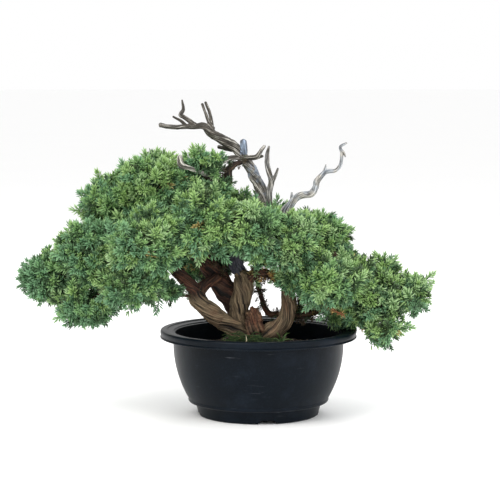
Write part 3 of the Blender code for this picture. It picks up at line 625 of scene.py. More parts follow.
def smoothRoute(route, step=1.5):
    rows = np.array(route, float)
    rows = np.vstack([2 * rows[0] - rows[1], rows, 2 * rows[-1] - rows[-2]])
    found = []
    for a, b, c, d in zip(rows, rows[1:], rows[2:], rows[3:]):
        count = max(2, int(np.linalg.norm((c - b)[:3]) / step))
        for t in np.arange(count) / count:
            found.append(0.5 * (2 * b + (c - a) * t + (2 * a - 5 * b + 4 * c - d) * t**2
                                + (3 * b - a - 3 * c + d) * t**3))
    found.append(rows[-2])
    return np.array(found)


def unit(vectors):
    return vectors / np.maximum(np.linalg.norm(vectors, axis=-1, keepdims=True), 1e-9)


def carriedFrames(centres):  # a pair of side directions carried along the line without twisting
    tangents = unit(np.gradient(centres, axis=0))
    side = np.cross(tangents[0], (0.0, 0.3, 1.0) if abs(tangents[0][2]) < 0.8 else (1.0, 0.2, 0.0))
    sides = []
    for tangent in tangents:
        side = side - tangent * np.dot(side, tangent)
        side = side / np.linalg.norm(side)
        sides.append(side)
    sides = np.array(sides)
    return tangents, sides, np.cross(tangents, sides)


def skinFaces(rows, count):  # triangles round a stack of rings, closed on two points that follow the rings
    n, m = np.meshgrid(np.arange(rows - 1) * count, np.arange(count), indexing="ij")
    after = (m + 1) % count
    corners = [corner.ravel() for corner in (n + m, n + after, n + count + after, n + count + m)]
    m, after = m[0], after[0]
    first, last = m * 0 + rows * count, (rows - 1) * count
    triangles = [[corners[0], corners[1], corners[2]], [corners[0], corners[2], corners[3]],
                 [first, after, m], [first + 1, last + m, last + after]]
    return np.vstack([np.stack(triangle, -1) for triangle in triangles])


def tubeMesh(centres, radii, count=14):  # closed, with a domed end at each end
    tangents, sides, others = carriedFrames(centres)
    turns = np.arange(count) * 2 * math.pi / count
    ring = np.cos(turns)[None, :, None] * sides[:, None] + np.sin(turns)[None, :, None] * others[:, None]
    points = (centres[:, None] + ring * radii[:, None, None]).reshape(-1, 3)
    domes = tangents * radii[:, None] * 0.6
    ends = np.array([centres[0] - domes[0], centres[-1] + domes[-1]])
    return np.vstack([points, ends]), skinFaces(len(centres), count)


def joined(parts):
    points, faces, start = [], [], 0
    for somePoints, someFaces in parts:
        points.append(somePoints)
        faces.append(someFaces + start)
        start += len(somePoints)
    return np.vstack(points), np.vstack(faces)


def grainAt(points, lines):
    # where each point lies along and around the nearest limb
    centres = np.vstack([line["centres"] for line in lines])
    tangents = np.vstack([line["tangents"] for line in lines])
    sides = np.vstack([line["sides"] for line in lines])
    others = np.vstack([line["others"] for line in lines])
    radii = np.concatenate([line["radii"] for line in lines])
    along = np.concatenate([line["along"] for line in lines])
    limb = np.concatenate([np.full(len(line["radii"]), n) for n, line in enumerate(lines)])
    nearest = np.empty(len(points), int)
    for start in range(0, len(points), 3000):
        some = points[start:start + 3000]
        square = (some**2).sum(1)[:, None] - 2 * some @ centres.T + (centres**2).sum(1)[None]
        nearest[start:start + 3000] = np.argmin(np.sqrt(np.maximum(square, 0)) - radii[None], axis=1)
    offset = points - centres[nearest]
    run = along[nearest] + (offset * tangents[nearest]).sum(1)
    turn = np.arctan2((offset * others[nearest]).sum(1), (offset * sides[nearest]).sum(1))
    return run, turn, radii[nearest], limb[nearest]


def grownWood(name, routes, voxel, lobes, furrow, looks, seed):
    # tubes along the routes, fused into one skin and furrowed along the grain
    lines, parts = [], []
    for number, route in enumerate(routes):
        rows = smoothRoute(route)
        centres, radii = rows[:, :3], np.maximum(rows[:, 3], 0.9)
        along = np.concatenate([[0], np.cumsum(np.linalg.norm(np.diff(centres, axis=0), axis=1))])
        flat = along * 0
        wander = np.stack([layeredNoise(np.stack([along / 14, flat, flat + axis], 1), seed + number)
                           for axis in range(3)], 1)
        centres = centres + wander * (radii * woodMake["wander"])[:, None]
        thick = layeredNoise(np.stack([along / 9, flat + 5, flat], 1), seed + number + 40)
        tangents, sides, others = carriedFrames(centres)
        lines.append({"centres": centres, "tangents": tangents, "sides": sides, "others": others,
                      "radii": radii, "along": along + number * 400})
        parts.append(tubeMesh(centres, radii * (1 + woodMake["swell"] * thick)))
    points, faces = joined(parts)
    blank = placed("blank", meshFrom("blank", points, faces))
    skin = blank.modifiers.new("skin", "REMESH")
    skin.mode = "VOXEL"
    skin.voxel_size = voxel * mm
    skin.use_smooth_shade = True
    smooth = blank.modifiers.new("soften", "SMOOTH")
    smooth.factor = 0.5
    smooth.iterations = 2
    mesh = settled(blank)
    mesh.name = name
    places = (pointsOf(mesh) - potAxis) / mm
    run, turn, radius, limb = grainAt(places, lines)
    twisted = turn + woodMake["twist"] * run
    ringSize = np.maximum(radius, 2.0)
    grain = np.stack([np.cos(twisted) * ringSize, np.sin(twisted) * ringSize, run], 1)
    coarse = layeredNoise(grain * (0.2, 0.2, 0.022) + 3.1, seed + 1, 2)
    ropes = 1 - 2.6 * np.abs(layeredNoise(grain * (0.3, 0.3, 0.024) + 9.7, seed + 2, 3))
    fibres = 1 - 2 * np.abs(softNoise(grain * (0.8, 0.8, 0.06), seed + 3))
    relief = 0.45 * coarse + 0.55 * ropes + 0.2 * fibres - 0.1
    red, pale, rough, shadedYoungFrom = np.array(looks)[limb].T
    # redder young bark plus painted shade: limbs turn redder and darker where they rise into the crown
    young = np.clip((places[:, 2] - shadedYoungFrom) / woodMake["shadedYoungRun"], 0, 1)
    red, pale = red + young * 0.6, pale - young * 0.24
    lobe = np.sin(3 * twisted + 1.7 * softNoise(grain * (0, 0, 0.03) + 2.2, seed)) * radius * lobes
    deepest = np.minimum(radius * 0.17, woodMake["furrow"]) * furrow * rough
    lumps = (0.4 + layeredNoise(places / 4.5, seed + 6, 2)) * np.minimum(radius, 8) * woodMake["knobs"]
    out = (relief - woodMake["level"]) * deepest + lobe + np.clip(rough - 1.2, 0, 1) * lumps
    places = places + normalsOf(mesh) * out[:, None]
    mesh.vertices.foreach_set("co", (places * mm + potAxis).astype(np.float32).ravel())
    mesh.update()
    setValues(mesh, "grain", grain, "FLOAT_VECTOR")
    setValues(mesh, "relief", relief)
    setValues(mesh, "redness", red + 0.12 * coarse)
    setValues(mesh, "paleness", pale + 0.15 * ropes)
    return mesh


barkLook = {
    "crevice": (20, 14, 11),
    "greyDark": (54, 45, 34),
    "greyPale": (146, 126, 98),
    "redDark": (42, 25, 20),
    "redPale": (112, 70, 48),
    "dark": 0.36,               # shades of the streaks where the dark and pale tones lie
    "light": 0.68,
    "even": 0.45,               # paleness that leaves the streaks as they are
}

deadwoodLook = {
    "crack": (26, 24, 21),
    "brown": (62, 56, 48),
    "grey": (112, 107, 98),
    "silver": (206, 202, 194),
    "blue": (158, 176, 200),
    "shade": (60, 62, 74),      # painted shade, low on the deadwood near the live wood
}


def makeBark(name, look, fineness=0.55):
    material, tree, shader = newMaterial(name, 0.82)
    grain = useGroup(tree, grainGroup, Fineness=fineness, Stretch=0.07)
    relief = readValue(tree, "relief")
    red = readValue(tree, "redness")
    pale = readValue(tree, "paleness")
    shade = plus(tree, grain["Streaks"], times(tree, minus(tree, pale, look["even"]), 0.55))
    shade = plus(tree, shade, times(tree, relief, 0.22))
    greys = addRamp(tree, shade, [(look["dark"], look["greyDark"]), (look["light"], look["greyPale"])])
    reds = addRamp(tree, shade, [(look["dark"], look["redDark"]), (look["light"], look["redPale"])])
    patches = times(tree, minus(tree, grain["Blotches"], 0.5), 1.3)
    redShare = rescale(tree, plus(tree, red, patches), 0.2, 0.85)
    colour = mixColours(tree, redShare, greys, reds)
    deep = rescale(tree, relief, 0.06, -0.36)
    crack = maths(tree, "MAXIMUM", deep, times(tree, grain["Splits"], 0.7))
    colour = mixColours(tree, crack, colour, paint(look["crevice"]))
    tree.links.new(colour, shader.inputs["Base Color"])
    tree.links.new(rescale(tree, grain["Streaks"], 0.3, 0.8, 0.92, 0.7), shader.inputs["Roughness"])
    height = minus(tree, grain["Streaks"], times(tree, grain["Splits"], 0.5))
    addBump(tree, shader, height, 0.8, 0.0012)
    return material


def makeDeadwoodFinish(name, look):
    material, tree, shader = newMaterial(name, 0.68)
    grain = useGroup(tree, grainGroup, Fineness=0.8, Stretch=0.05)
    relief = readValue(tree, "relief")
    old = readValue(tree, "redness")
    shade = plus(tree, grain["Streaks"], times(tree, relief, 0.16))
    shade = minus(tree, shade, times(tree, minus(tree, old, 0.3), 0.17))
    colour = addRamp(tree, shade, [(0.4, look["brown"]), (0.5, look["grey"]), (0.6, look["silver"])])
    blue = readValue(tree, "blueness")
    colour = mixColours(tree, blue, colour, paint(look["blue"]))
    patches = minus(tree, grain["Blotches"], times(tree, old, 0.12))
    stain = rescale(tree, patches, 0.42, 0.3, 0.0, 0.7)
    colour = mixColours(tree, stain, colour, paint(look["brown"]))
    deep = rescale(tree, relief, 0.0, -0.38)
    crack = maths(tree, "MAXIMUM", deep, times(tree, grain["Splits"], 0.8))
    colour = mixColours(tree, crack, colour, paint(look["crack"]))
    # painted shade: the lower deadwood turns toward the shade colour
    pale = readValue(tree, "paleness")
    low = rescale(tree, pale, 0.7, 0.1, 0.0, 0.85)
    colour = mixColours(tree, low, colour, paint(look["shade"]))
    tree.links.new(colour, shader.inputs["Base Color"])
    tree.links.new(rescale(tree, grain["Streaks"], 0.3, 0.8, 0.8, 0.55), shader.inputs["Roughness"])
    height = minus(tree, grain["Streaks"], grain["Splits"])
    addBump(tree, shader, height, 0.7, 0.0009)
    return material


print("wood")
trunkBark = makeBark("stringy trunk bark", barkLook)
looks = [limbLooks.get(limb, rootLook) for limb in trunkRoutes]
trunkMesh = grownWood("fused trunk", list(trunkRoutes.values()), woodMake["voxel"], 0.07, 1.25, looks, 5)
addPiece("fused_trunk", trunkMesh, trunkBark, ["trunk"])
for number, (node, routes) in enumerate(branchRoutes.items()):
    looks = [branchLooks.get(node, usualLook)] * len(routes)
    mesh = grownWood(node + " skin", routes, woodMake["branchVoxel"], 0.05, 0.9, looks, 20 + number * 7)
    addPiece("wood_" + node, mesh, trunkBark, [node])
weathered = makeDeadwoodFinish("bleached deadwood", deadwoodLook)
# how brown, how blue and how rough each dead limb has weathered
deadwoodWear = {
    "apex_deadwood": (0.5, 0.0, 1.42),
    "left_deadwood": (0.3, 0.0, 1.3),
    "upright_deadwood": (0.42, 0.1, 1.3),
    "right_deadwood": (-0.25, 0.42, 1.3),
}


def blueness(node, places):  # patches that have weathered blue-grey
    patches = np.clip(0.5 + 2.2 * layeredNoise(places / 8, 91, 2), 0, 1)
    found = patches * deadwoodWear[node][1]
    if node == "apex_deadwood":
        x, z = places[:, 0], places[:, 2]
        found = np.where((z < 338) & (x > -16), patches * 0.6, found)
        found = np.where((np.abs(x + 20) < 5) & (z > 351) & (z < 376), 0.9, found)  # the broken stub
    return found


for number, (node, routes) in enumerate(deadwoodRoutes.items()):
    mesh = grownWood(node + " skin", routes, woodMake["deadwoodVoxel"], 0.13, 1.25,
                     [(0.5, 0.4, deadwoodWear[node][2], noShadedYoung)] * len(routes), 80 + number * 7)
    places = (pointsOf(mesh) - potAxis) / mm
    # painted shade: paleness falls off below about 270 mm, low in the crown near the live wood
    setValues(mesh, "paleness", np.clip((places[:, 2] - 225) / 45, 0, 1))
    top = np.clip((-25 - places[:, 0]) / 20, 0, 1) * (places[:, 2] > 355)
    setValues(mesh, "redness", deadwoodWear[node][0] + 0.4 * top)
    setValues(mesh, "blueness", blueness(node, places))
    addPiece("bleached_" + node, mesh, weathered, [node])

# Small parts repeated many times and merged into one mesh


def spindle(base, tip, width, count=3, belly=0.35):  # a needle: pointed at the tip, widest above its base
    axis = tip - base
    side = unit(np.cross(axis, (0.31, 0.17, 0.93)))
    other = unit(np.cross(axis, side))
    turns = np.arange(count) * 2 * math.pi / count
    middle = base + axis * belly + width * (np.cos(turns)[:, None] * side + np.sin(turns)[:, None] * other)
    points = np.vstack([base, middle, tip])
    n = np.arange(count)
    after = (n + 1) % count
    faces = np.vstack([np.stack([n * 0, after + 1, n + 1], -1),
                       np.stack([n * 0 + count + 1, n + 1, after + 1], -1)])
    return points, faces, np.concatenate([[0.0], np.full(count, belly), [1.0]])


def gathered(parts):  # points and faces joined, with each list of values for the points
    points, faces = joined([part[:2] for part in parts])
    return points, faces, *[np.concatenate(values) for values in list(zip(*parts))[2:]]


def turnTo(directions, rng):  # rotations that carry +Z to each direction, with a random turn about it
    directions = unit(directions)
    spare = rng.normal(size=directions.shape)
    sides = unit(np.cross(directions, spare))
    return np.stack([sides, np.cross(directions, sides), directions], -1)


def scattered(kinds, which, places, turns, sizes, tints):
    points, faces, values, shades = [], [], [], []
    start = 0
    for number, (kindPoints, kindFaces, kindValues) in enumerate(kinds):
        chosen = np.nonzero(which == number)[0]
        if not len(chosen):
            continue
        stood = np.einsum("kij,nj->kni", turns[chosen], kindPoints) * sizes[chosen, None, None]
        stood = stood + places[chosen, None]
        steps = start + np.arange(len(chosen)) * len(kindPoints)
        points.append(stood.reshape(-1, 3))
        faces.append((kindFaces[None] + steps[:, None, None]).reshape(-1, 3))
        values.append(np.tile(kindValues, len(chosen)))
        shades.append(np.repeat(tints[chosen], len(kindPoints)))
        start += len(chosen) * len(kindPoints)
    return np.vstack(points), np.vstack(faces), np.concatenate(values), np.concatenate(shades)


def paletteMap(mesh, along, shade):  # U runs along a needle and V is its tint
    layer = mesh.uv_layers.new(name="OFBake")
    vertex = np.empty(len(mesh.loops), np.int32)
    mesh.loops.foreach_get("vertex_index", vertex)
    nudge = np.arange(len(vertex)) % 3 * 0.004  # keeps each face open on the map
    flat = np.stack([0.03 + 0.9 * along[vertex] + nudge * 0.5, shade[vertex] + nudge], -1)
    layer.data.foreach_set("uv", flat.astype(np.float32).ravel())


# Soil: dark grit with bark crumbs and fallen needles

soilMake = {
    "edgeHeight": 86.0,
    "rise": 20.0,
    "spread": 58.0,
    "centre": (-2.0, 4.0),
    "radius": 108.6,
    "sides": 168,
    "rings": 58,
    "levels": (78.0, 60.0, 42.0, 28.0, 20.0, 11.5),  # down inside the pot
    "grains": 5200,
    "crumbKinds": 6,
    "fallenNeedles": 260,
    "tints": [(0.0, (20, 17, 15)), (0.45, (38, 31, 26)), (0.8, (66, 52, 40)),
              (0.93, (112, 92, 70)), (1.0, (168, 156, 138))],
}


def soilHeight(x, y):
    away = np.hypot(x - soilMake["centre"][0], y - soilMake["centre"][1])
    mound = soilMake["rise"] * np.exp(-((away / soilMake["spread"]) ** 2))
    flat = np.stack([x * 0.05, y * 0.05, x * 0 + 3], -1)
    lumps = layeredNoise(flat * 4.0, 7, 3)
    return soilMake["edgeHeight"] + mound + 1.2 * softNoise(flat, 6) + 1.5 * lumps


def soilBody():
    count, rings = soilMake["sides"], soilMake["rings"]
    levels = np.linspace(0.006, 1.0, rings) ** 0.8 * soilMake["radius"]
    turns = np.arange(count) * 2 * math.pi / count
    radius, turn = np.meshgrid(levels, turns, indexing="ij")
    x, y = (radius * np.cos(turn)).ravel(), (radius * np.sin(turn)).ravel()
    top = np.stack([x, y, soilHeight(x, y)], -1)
    rows = [top]
    for level in soilMake["levels"]:
        fraction = np.clip((potMake["bellyTop"] - level) / potMake["bellyHeight"], 0, 1)
        reach = bellyRadius(fraction) - potMake["wall"] - 1.4 if level > 24 else potMake["footRadius"] - 8.0
        rows.append(np.stack([reach * np.cos(turns), reach * np.sin(turns), turns * 0 + level], -1))
    middles = np.array([[0, 0, soilHeight(np.zeros(1), np.zeros(1))[0]], [0, 0, soilMake["levels"][-1]]])
    return np.vstack([*rows, middles]), skinFaces(rings + len(soilMake["levels"]), count)[:, ::-1]


def ballMesh(subdivisions):  # a unit ball
    shape = bmesh.new()
    bmesh.ops.create_icosphere(shape, subdivisions=subdivisions, radius=1.0)
    points = np.array([vertex.co[:] for vertex in shape.verts])
    faces = np.array([[vertex.index for vertex in face.verts] for face in shape.faces])
    shape.free()
    return points, faces


def crumbKinds(rng, number):  # angular crumbs
    kinds = []
    for _ in range(number):
        points, faces = ballMesh(1)
        points = points * rng.uniform(0.65, 1.25, (len(points), 1)) * rng.uniform(0.6, 1.15, (1, 3))
        kinds.append((points, faces, np.zeros(len(points))))
    return kinds


def groundPlaces(rng, number, outer):
    reach = outer * np.sqrt(rng.uniform(0.02, 1, number))
    turn = rng.uniform(0, 2 * math.pi, number)
    x, y = reach * np.cos(turn), reach * np.sin(turn)
    return np.stack([x, y, soilHeight(x, y)], -1)


def makeSoil():
    rng = np.random.default_rng(11)
    body = soilBody()
    number = soilMake["grains"]
    places = groundPlaces(rng, number, soilMake["radius"] - 1.5)
    sizes = rng.uniform(0.5, 1.25, number) * rng.choice([1.0, 1.0, 1.5, 2.0], number)
    which = rng.integers(0, soilMake["crumbKinds"], number)
    crumbs = scattered(crumbKinds(rng, soilMake["crumbKinds"]), which, places,
                       turnTo(rng.normal(size=(number, 3)), rng), sizes, rng.uniform(0, 0.97, number))
    needle = spindle(np.zeros(3), np.array([0, 0, 8.0]), 0.42)
    number = soilMake["fallenNeedles"]
    places = groundPlaces(rng, number, soilMake["radius"] - 7) + (0, 0, 1.0)
    lying = rng.normal(size=(number, 3)) * (1, 1, 0.12)
    litter = scattered([needle], np.zeros(number, int), places, turnTo(lying, rng),
                       rng.uniform(0.6, 1.1, number), rng.uniform(0.86, 0.96, number))
    body = (*body, np.full(len(body[0]), 0.12))
    points, faces, tint = gathered([body, (*crumbs[:2], crumbs[3]), (*litter[:2], litter[3])])
    mesh = meshFrom("soil surface", points, faces, smooth=False)
    setValues(mesh, "tint", tint)
    return mesh


def makeSoilFinish():
    material, tree, shader = newMaterial("damp bonsai soil", 0.9)
    tint = readValue(tree, "tint")
    place = objectPlace(tree)
    speck = addNoise(tree, place, 700.0, 4.0)
    mixed = plus(tree, tint, rescale(tree, speck, 0.3, 0.7, -0.12, 0.12))
    colour = addRamp(tree, mixed, soilMake["tints"])
    damp = addNoise(tree, place, 22.0, 2.0)
    colour = mixColours(tree, rescale(tree, damp, 0.4, 0.6, 0.0, 0.5), colour, (0.006, 0.005, 0.004, 1))
    tree.links.new(colour, shader.inputs["Base Color"])
    tree.links.new(rescale(tree, damp, 0.4, 0.6, 0.95, 0.55), shader.inputs["Roughness"])
    addBump(tree, shader, speck, 0.6, 0.0006)
    return material


print("soil")
addPiece("soil_surface", makeSoil(), makeSoilFinish(), ["soil"])

# Moss, grass and a dry stalk at the foot of the trunk

mossMake = {
    # centre, radii, number of shoots
    "moss_front": ((-16, -32, 103), (26, 14, 5.5), 2600),
    "moss_right": ((14, -36, 101), (19, 11, 5.5), 1700),
    "strands": 54,         # draped over the foot of the left trunk
    "strandSize": 0.42,
    "tints": [(0.0, (16, 24, 14)), (0.5, (34, 54, 28)), (0.85, (62, 88, 42)), (1.0, (120, 104, 60))],
}

grassMake = {
    "blades": [
        [(30, -40, 100), (31, -41, 106), (34, -43, 112), (38, -44, 117)],
        [(30, -40, 101), (29, -42, 107), (27, -44, 113), (23, -45, 118)],
        [(30, -40, 101), (33, -39, 105), (39, -38, 107), (46, -37, 106)],
        [(31, -39, 100), (34, -37, 107), (37, -35, 113), (42, -34, 115)],
        [(29, -41, 100), (27, -40, 105), (23, -38, 108), (18, -37, 107)],
    ],
    "width": 0.95,
    "tints": [(0.1, (30, 48, 24)), (0.6, (56, 84, 38)), (1.0, (104, 132, 62))],
}

stalkMake = {
    "line": [(-17, -44, 95), (-17, -45, 101), (-16, -45, 107), (-17, -44, 113.5)],
    "width": 1.2,
    "tints": [(0.1, (150, 134, 100)), (0.6, (206, 192, 158)), (1.0, (226, 216, 190))],
}


def mossStrands(rng):
    parts = []
    for _ in range(mossMake["strands"]):
        x, z, run = rng.uniform(-50, 0), rng.uniform(106, 116), rng.uniform(7, 17)
        z = z - 0.06 * (x + 50)
        y = -30 - (116 - z) * 1.1 + rng.uniform(-2, 1)
        rows = smoothRoute([(x, y, z, 1), (x + run / 2, y - 1.5, z + rng.uniform(-1, 3), 1),
                            (x + run, y, z + rng.uniform(-5, 1), 0.4)])
        parts.append(tubeMesh(rows[:, :3], rows[:, 3] * mossMake["strandSize"], 5))
    return joined(parts)


def mossMesh(name, seed):
    rng = np.random.default_rng(seed)
    centre, radii, number = mossMake[name]
    skin, faces = ballMesh(5)
    lumps = 1 + 0.16 * layeredNoise(skin * 3.0 + seed, seed, 3)
    cushion = skin * lumps[:, None] * np.array(radii) * 0.9 + centre
    way = unit(rng.normal(size=(number, 3)) * (1, 1, 0.7) + (0, 0, 0.5))
    lift = 1 + 0.16 * layeredNoise(way * 3.0 + seed, seed, 3)
    places = way * lift[:, None] * np.array(radii) * 0.88 + centre
    shoots = [spindle(np.zeros(3), np.array([0.3, 0.2, 3.0]), 0.34),
              spindle(np.zeros(3), np.array([-0.5, 0.3, 2.3]), 0.4)]
    leaning = way + (0, 0, 0.7) + rng.normal(size=(number, 3)) * 0.35
    grown = scattered(shoots, rng.integers(0, 2, number), places, turnTo(leaning, rng),
                      rng.uniform(0.7, 1.2, number), rng.uniform(0.2, 1.0, number))
    parts = [(cushion, faces, np.full(len(cushion), 0.16)), (*grown[:2], grown[3] * (0.7 + 0.3 * grown[2]))]
    if name == "moss_front":
        strands = mossStrands(rng)
        parts.append((*strands, rng.uniform(0.5, 0.9, len(strands[0]))))
    points, faces, tint = gathered(parts)
    mesh = meshFrom(name + " shoots", points, faces, smooth=False)
    setValues(mesh, "tint", tint)
    return mesh


def makeLeafFinish(name, stops, roughness, speckle=900.0):
    material, tree, shader = newMaterial(name, roughness)
    tint = readValue(tree, "tint")
    place = objectPlace(tree)
    speck = addNoise(tree, place, speckle, 3.0)
    mixed = plus(tree, tint, rescale(tree, speck, 0.3, 0.7, -0.15, 0.15))
    tree.links.new(addRamp(tree, mixed, stops), shader.inputs["Base Color"])
    rough = rescale(tree, speck, 0.3, 0.7, roughness - 0.1, roughness + 0.1)
    tree.links.new(rough, shader.inputs["Roughness"])
    addBump(tree, shader, speck, 0.4, 0.0003)
    return material


def bladeMesh(blades, width, name, flatness=0.25):  # thin pointed blades
    parts = []
    for number, blade in enumerate(blades):
        rows = smoothRoute([(*point, 1.0) for point in blade], 1.2)
        share = np.linspace(0, 1, len(rows))
        points, faces = tubeMesh(rows[:, :3], width * (1 - share**2.2) * 0.9 + 0.1, 6)
        nearest = np.minimum(np.arange(len(points)) // 6, len(rows) - 1)
        middle = rows[nearest, :3]
        spread = points - middle
        spread[:, 1] *= flatness
        parts.append((middle + spread, faces, 0.35 + 0.5 * share[nearest] + 0.05 * (number % 3)))
    points, faces, tint = gathered(parts)
    mesh = meshFrom(name, points, faces)
    setValues(mesh, "tint", tint)
    return mesh


print("moss and grass")
mossGreen = makeLeafFinish("cushion moss", mossMake["tints"], 0.85)
addPiece("moss_front_shoots", mossMesh("moss_front", 31), mossGreen, ["moss_front"])
addPiece("moss_right_shoots", mossMesh("moss_right", 32), mossGreen, ["moss_right"])
grassGreen = makeLeafFinish("young grass", grassMake["tints"], 0.5)
addPiece("grass_blades", bladeMesh(grassMake["blades"], grassMake["width"], "grass blades"), grassGreen,
         ["grass_tuft"])
straw = makeLeafFinish("dry straw", stalkMake["tints"], 0.75)
addPiece("dry_straw_stalk", bladeMesh([stalkMake["line"]], stalkMake["width"], "dry stalk", 0.8), straw,
         ["dry_stalk"])

# The dead twig keeps a few rusty needles

deadTwigMake = {
    "line": [(66, -40, 172, 2.0), (76, -48, 164, 1.9), (87, -52, 156, 1.7), (99, -56, 148, 1.5),
             (112, -58, 142, 1.1)],
    "needles": 120,
    "needle": (7.5, 0.5),  # length and width
    "tints": [(0.1, (78, 48, 30)), (0.5, (142, 92, 52)), (1.0, (204, 166, 106))],
}


def deadTwigMesh():
    rng = np.random.default_rng(21)
    rows = smoothRoute(deadTwigMake["line"])
    twig = tubeMesh(rows[:, :3], rows[:, 3], 8)
    number = deadTwigMake["needles"]
    spot = rng.integers(3, len(rows), number)
    away = unit(rng.normal(size=(number, 3)))
    long, wide = deadTwigMake["needle"]
    needle = spindle(np.zeros(3), np.array([0, 0, long]), wide)
    turns = turnTo(away + (0.5, -0.1, -0.2), rng)
    grown = scattered([needle], np.zeros(number, int), rows[spot, :3], turns,
                      rng.uniform(0.6, 1.15, number), rng.uniform(0.4, 1.0, number))
    points, faces, tint = gathered([(*twig, np.full(len(twig[0]), 0.25)), (*grown[:2], grown[3])])
    mesh = meshFrom("dead twig", points, faces, smooth=False)
    setValues(mesh, "tint", tint)
    return mesh


rusty = makeLeafFinish("rusty dead needles", deadTwigMake["tints"], 0.8)
addPiece("rusty_dead_twig", deadTwigMesh(), rusty, ["orange_twig"])

# Foliage: star-shaped sprigs of awl needles, each pad grown over its own CAD pad

needleMake = {
    "length": 10.2,
    "width": 1.12,
    "spacing": 8.5,        # between sprigs on a pad's surface
    "sprigLength": (13.0, 22.0),
    "standProud": 0.26,    # share of a sprig that shows beyond the pad
    "clumpSpacing": 29.0,  # sprigs gather into pointed clumps
    "clumpReach": 19.0,
    "clumpRise": 18.0,
    "clumpSink": 9.5,
    "clumpGap": 0.5,       # share of sprigs left out between clumps
    "lift": 0.42,          # how far sprigs turn up to the light
    "probe": 11.0,         # a sprig is buried if this far out from it lies inside another pad
    "buriedKept": 0.3,
    "leaders": (0.12, 0.42),  # share of sprigs that stand further out, and how much
    "shadedShare": 0.5,    # of the sprigs underneath, in the blue tint
    "innerShare": 0.85,    # sprigs deeper in, for each one at the surface
    "innerDepth": (0.62, 0.86),
    "innerBack": 9.0,
    "twigsEach": 26,
    "mottleColour": (70, 104, 70),
    "tipColour": (200, 222, 160),
}

# V on the map, colour at a needle's base, colour at its tip
needleTints = {
    "twig": (0.05, (62, 42, 30), (92, 66, 48)),
    # deep: painted shade, a dark green for sprigs inside the pads and in shaded spots along bare wood
    "deep": (0.19, (32, 48, 28), (72, 100, 62)),
    "blue": (0.33, (40, 78, 48), (134, 182, 136)),
    "mid": (0.47, (56, 94, 46), (156, 198, 128)),
    "fresh": (0.61, (70, 106, 40), (172, 208, 126)),
    "pale": (0.73, (82, 120, 64), (182, 214, 154)),
    "palest": (0.8, (88, 126, 68), (190, 220, 164)),
    "gold": (0.92, (140, 96, 44), (216, 180, 108)),
}

# share of blue, fresh, pale and gold sprigs; the rest are mid green
padTints = {
    "foliage_left_hanging": (0.55, 0.08, 0.03, 0.0),
    "foliage_left_tip": (0.5, 0.12, 0.05, 0.0),
    "foliage_front_low": (0.45, 0.12, 0.04, 0.0),
    "foliage_left_middle": (0.35, 0.2, 0.07, 0.0),
    "foliage_left_tuft": (0.3, 0.15, 0.05, 0.01),
    "foliage_centre": (0.1, 0.4, 0.2, 0.002),
    "foliage_front_centre": (0.1, 0.4, 0.16, 0.004),
    "foliage_right_front": (0.08, 0.42, 0.2, 0.004),
    "foliage_top_left": (0.12, 0.36, 0.14, 0.002),
    "foliage_right_low": (0.1, 0.4, 0.24, 0.006),
    "foliage_right_middle": (0.06, 0.42, 0.32, 0.003),
    "foliage_right_knob": (0.08, 0.42, 0.3, 0.0),
    "foliage_right_outer": (0.1, 0.4, 0.3, 0.002),
    "foliage_right_hanging": (0.1, 0.38, 0.3, 0.002),
    "foliage_right_tip": (0.08, 0.36, 0.4, 0.0),
}
usualTints = (0.2, 0.3, 0.1, 0.001)


def makeSprig(rng, length, whorls):
    parts = []
    lean = rng.normal(size=2) * 0.05
    for whorl in range(whorls):
        share = whorl / (whorls - 1)
        height = length * (0.12 + 0.8 * share)
        middle = np.array([lean[0] * height, lean[1] * height, height])
        opening = math.radians(74 - 52 * share**1.25)
        count = 4 if 0.3 < share < 0.9 else 3
        for n in range(count):
            turn = 2 * math.pi * n / count + whorl * 1.05 + rng.normal() * 0.2
            tilt = opening + rng.normal() * 0.13
            away = math.sin(tilt)
            way = np.array([math.cos(turn) * away, math.sin(turn) * away, math.cos(tilt)])
            full = 0.8 + 0.3 * math.sin(math.pi * min(1, share + 0.2))  # longest low on the sprig
            reach = needleMake["length"] * full * rng.uniform(0.85, 1.12)
            parts.append(spindle(middle, middle + way * reach, needleMake["width"], belly=0.52))
    parts.append(spindle(np.zeros(3), np.array([lean[0] * length, lean[1] * length, length * 0.95]), 0.7))
    parts[-1] = (parts[-1][0], parts[-1][1], parts[-1][2] * 0.0)
    return gathered(parts)


def sprigKinds():
    rng = np.random.default_rng(3)
    low, high = needleMake["sprigLength"]
    return [makeSprig(rng, low + (high - low) * n / 7, 5 + n // 2) for n in range(8)]


def padSurface(node):  # triangles of a CAD pad in millimetres from the pot's axis
    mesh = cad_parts[node].data
    mesh.calc_loop_triangles()
    corners = np.empty(len(mesh.loop_triangles) * 3, np.int32)
    mesh.loop_triangles.foreach_get("vertices", corners)
    return ((pointsOf(mesh) - potAxis) / mm)[corners.reshape(-1, 3)]


def padEgg(node):
    low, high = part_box(node)
    low, high = (np.array(low) - potAxis) / mm, (np.array(high) - potAxis) / mm
    return (low + high) / 2, (high - low) / 2


def surfacePoints(triangles, spacing, rng):  # evenly spread over the pad
    cross = np.cross(triangles[:, 1] - triangles[:, 0], triangles[:, 2] - triangles[:, 0])
    area = np.linalg.norm(cross, axis=1) / 2
    number = int(area.sum() / spacing**2 * 5)
    face = rng.choice(len(triangles), number, p=area / area.sum())
    a, b = rng.uniform(size=number), rng.uniform(size=number)
    over = a + b > 1
    a[over], b[over] = 1 - a[over], 1 - b[over]
    tri = triangles[face]
    spots = tri[:, 0] + a[:, None] * (tri[:, 1] - tri[:, 0]) + b[:, None] * (tri[:, 2] - tri[:, 0])
    kept = np.empty((0, 3))
    chosen = []
    for n, spot in enumerate(spots):
        if not len(kept) or ((kept - spot) ** 2).sum(1).min() > spacing**2 * 0.72:
            kept = np.vstack([kept, spot])
            chosen.append(n)
    return spots[chosen], unit(cross[face[chosen]])


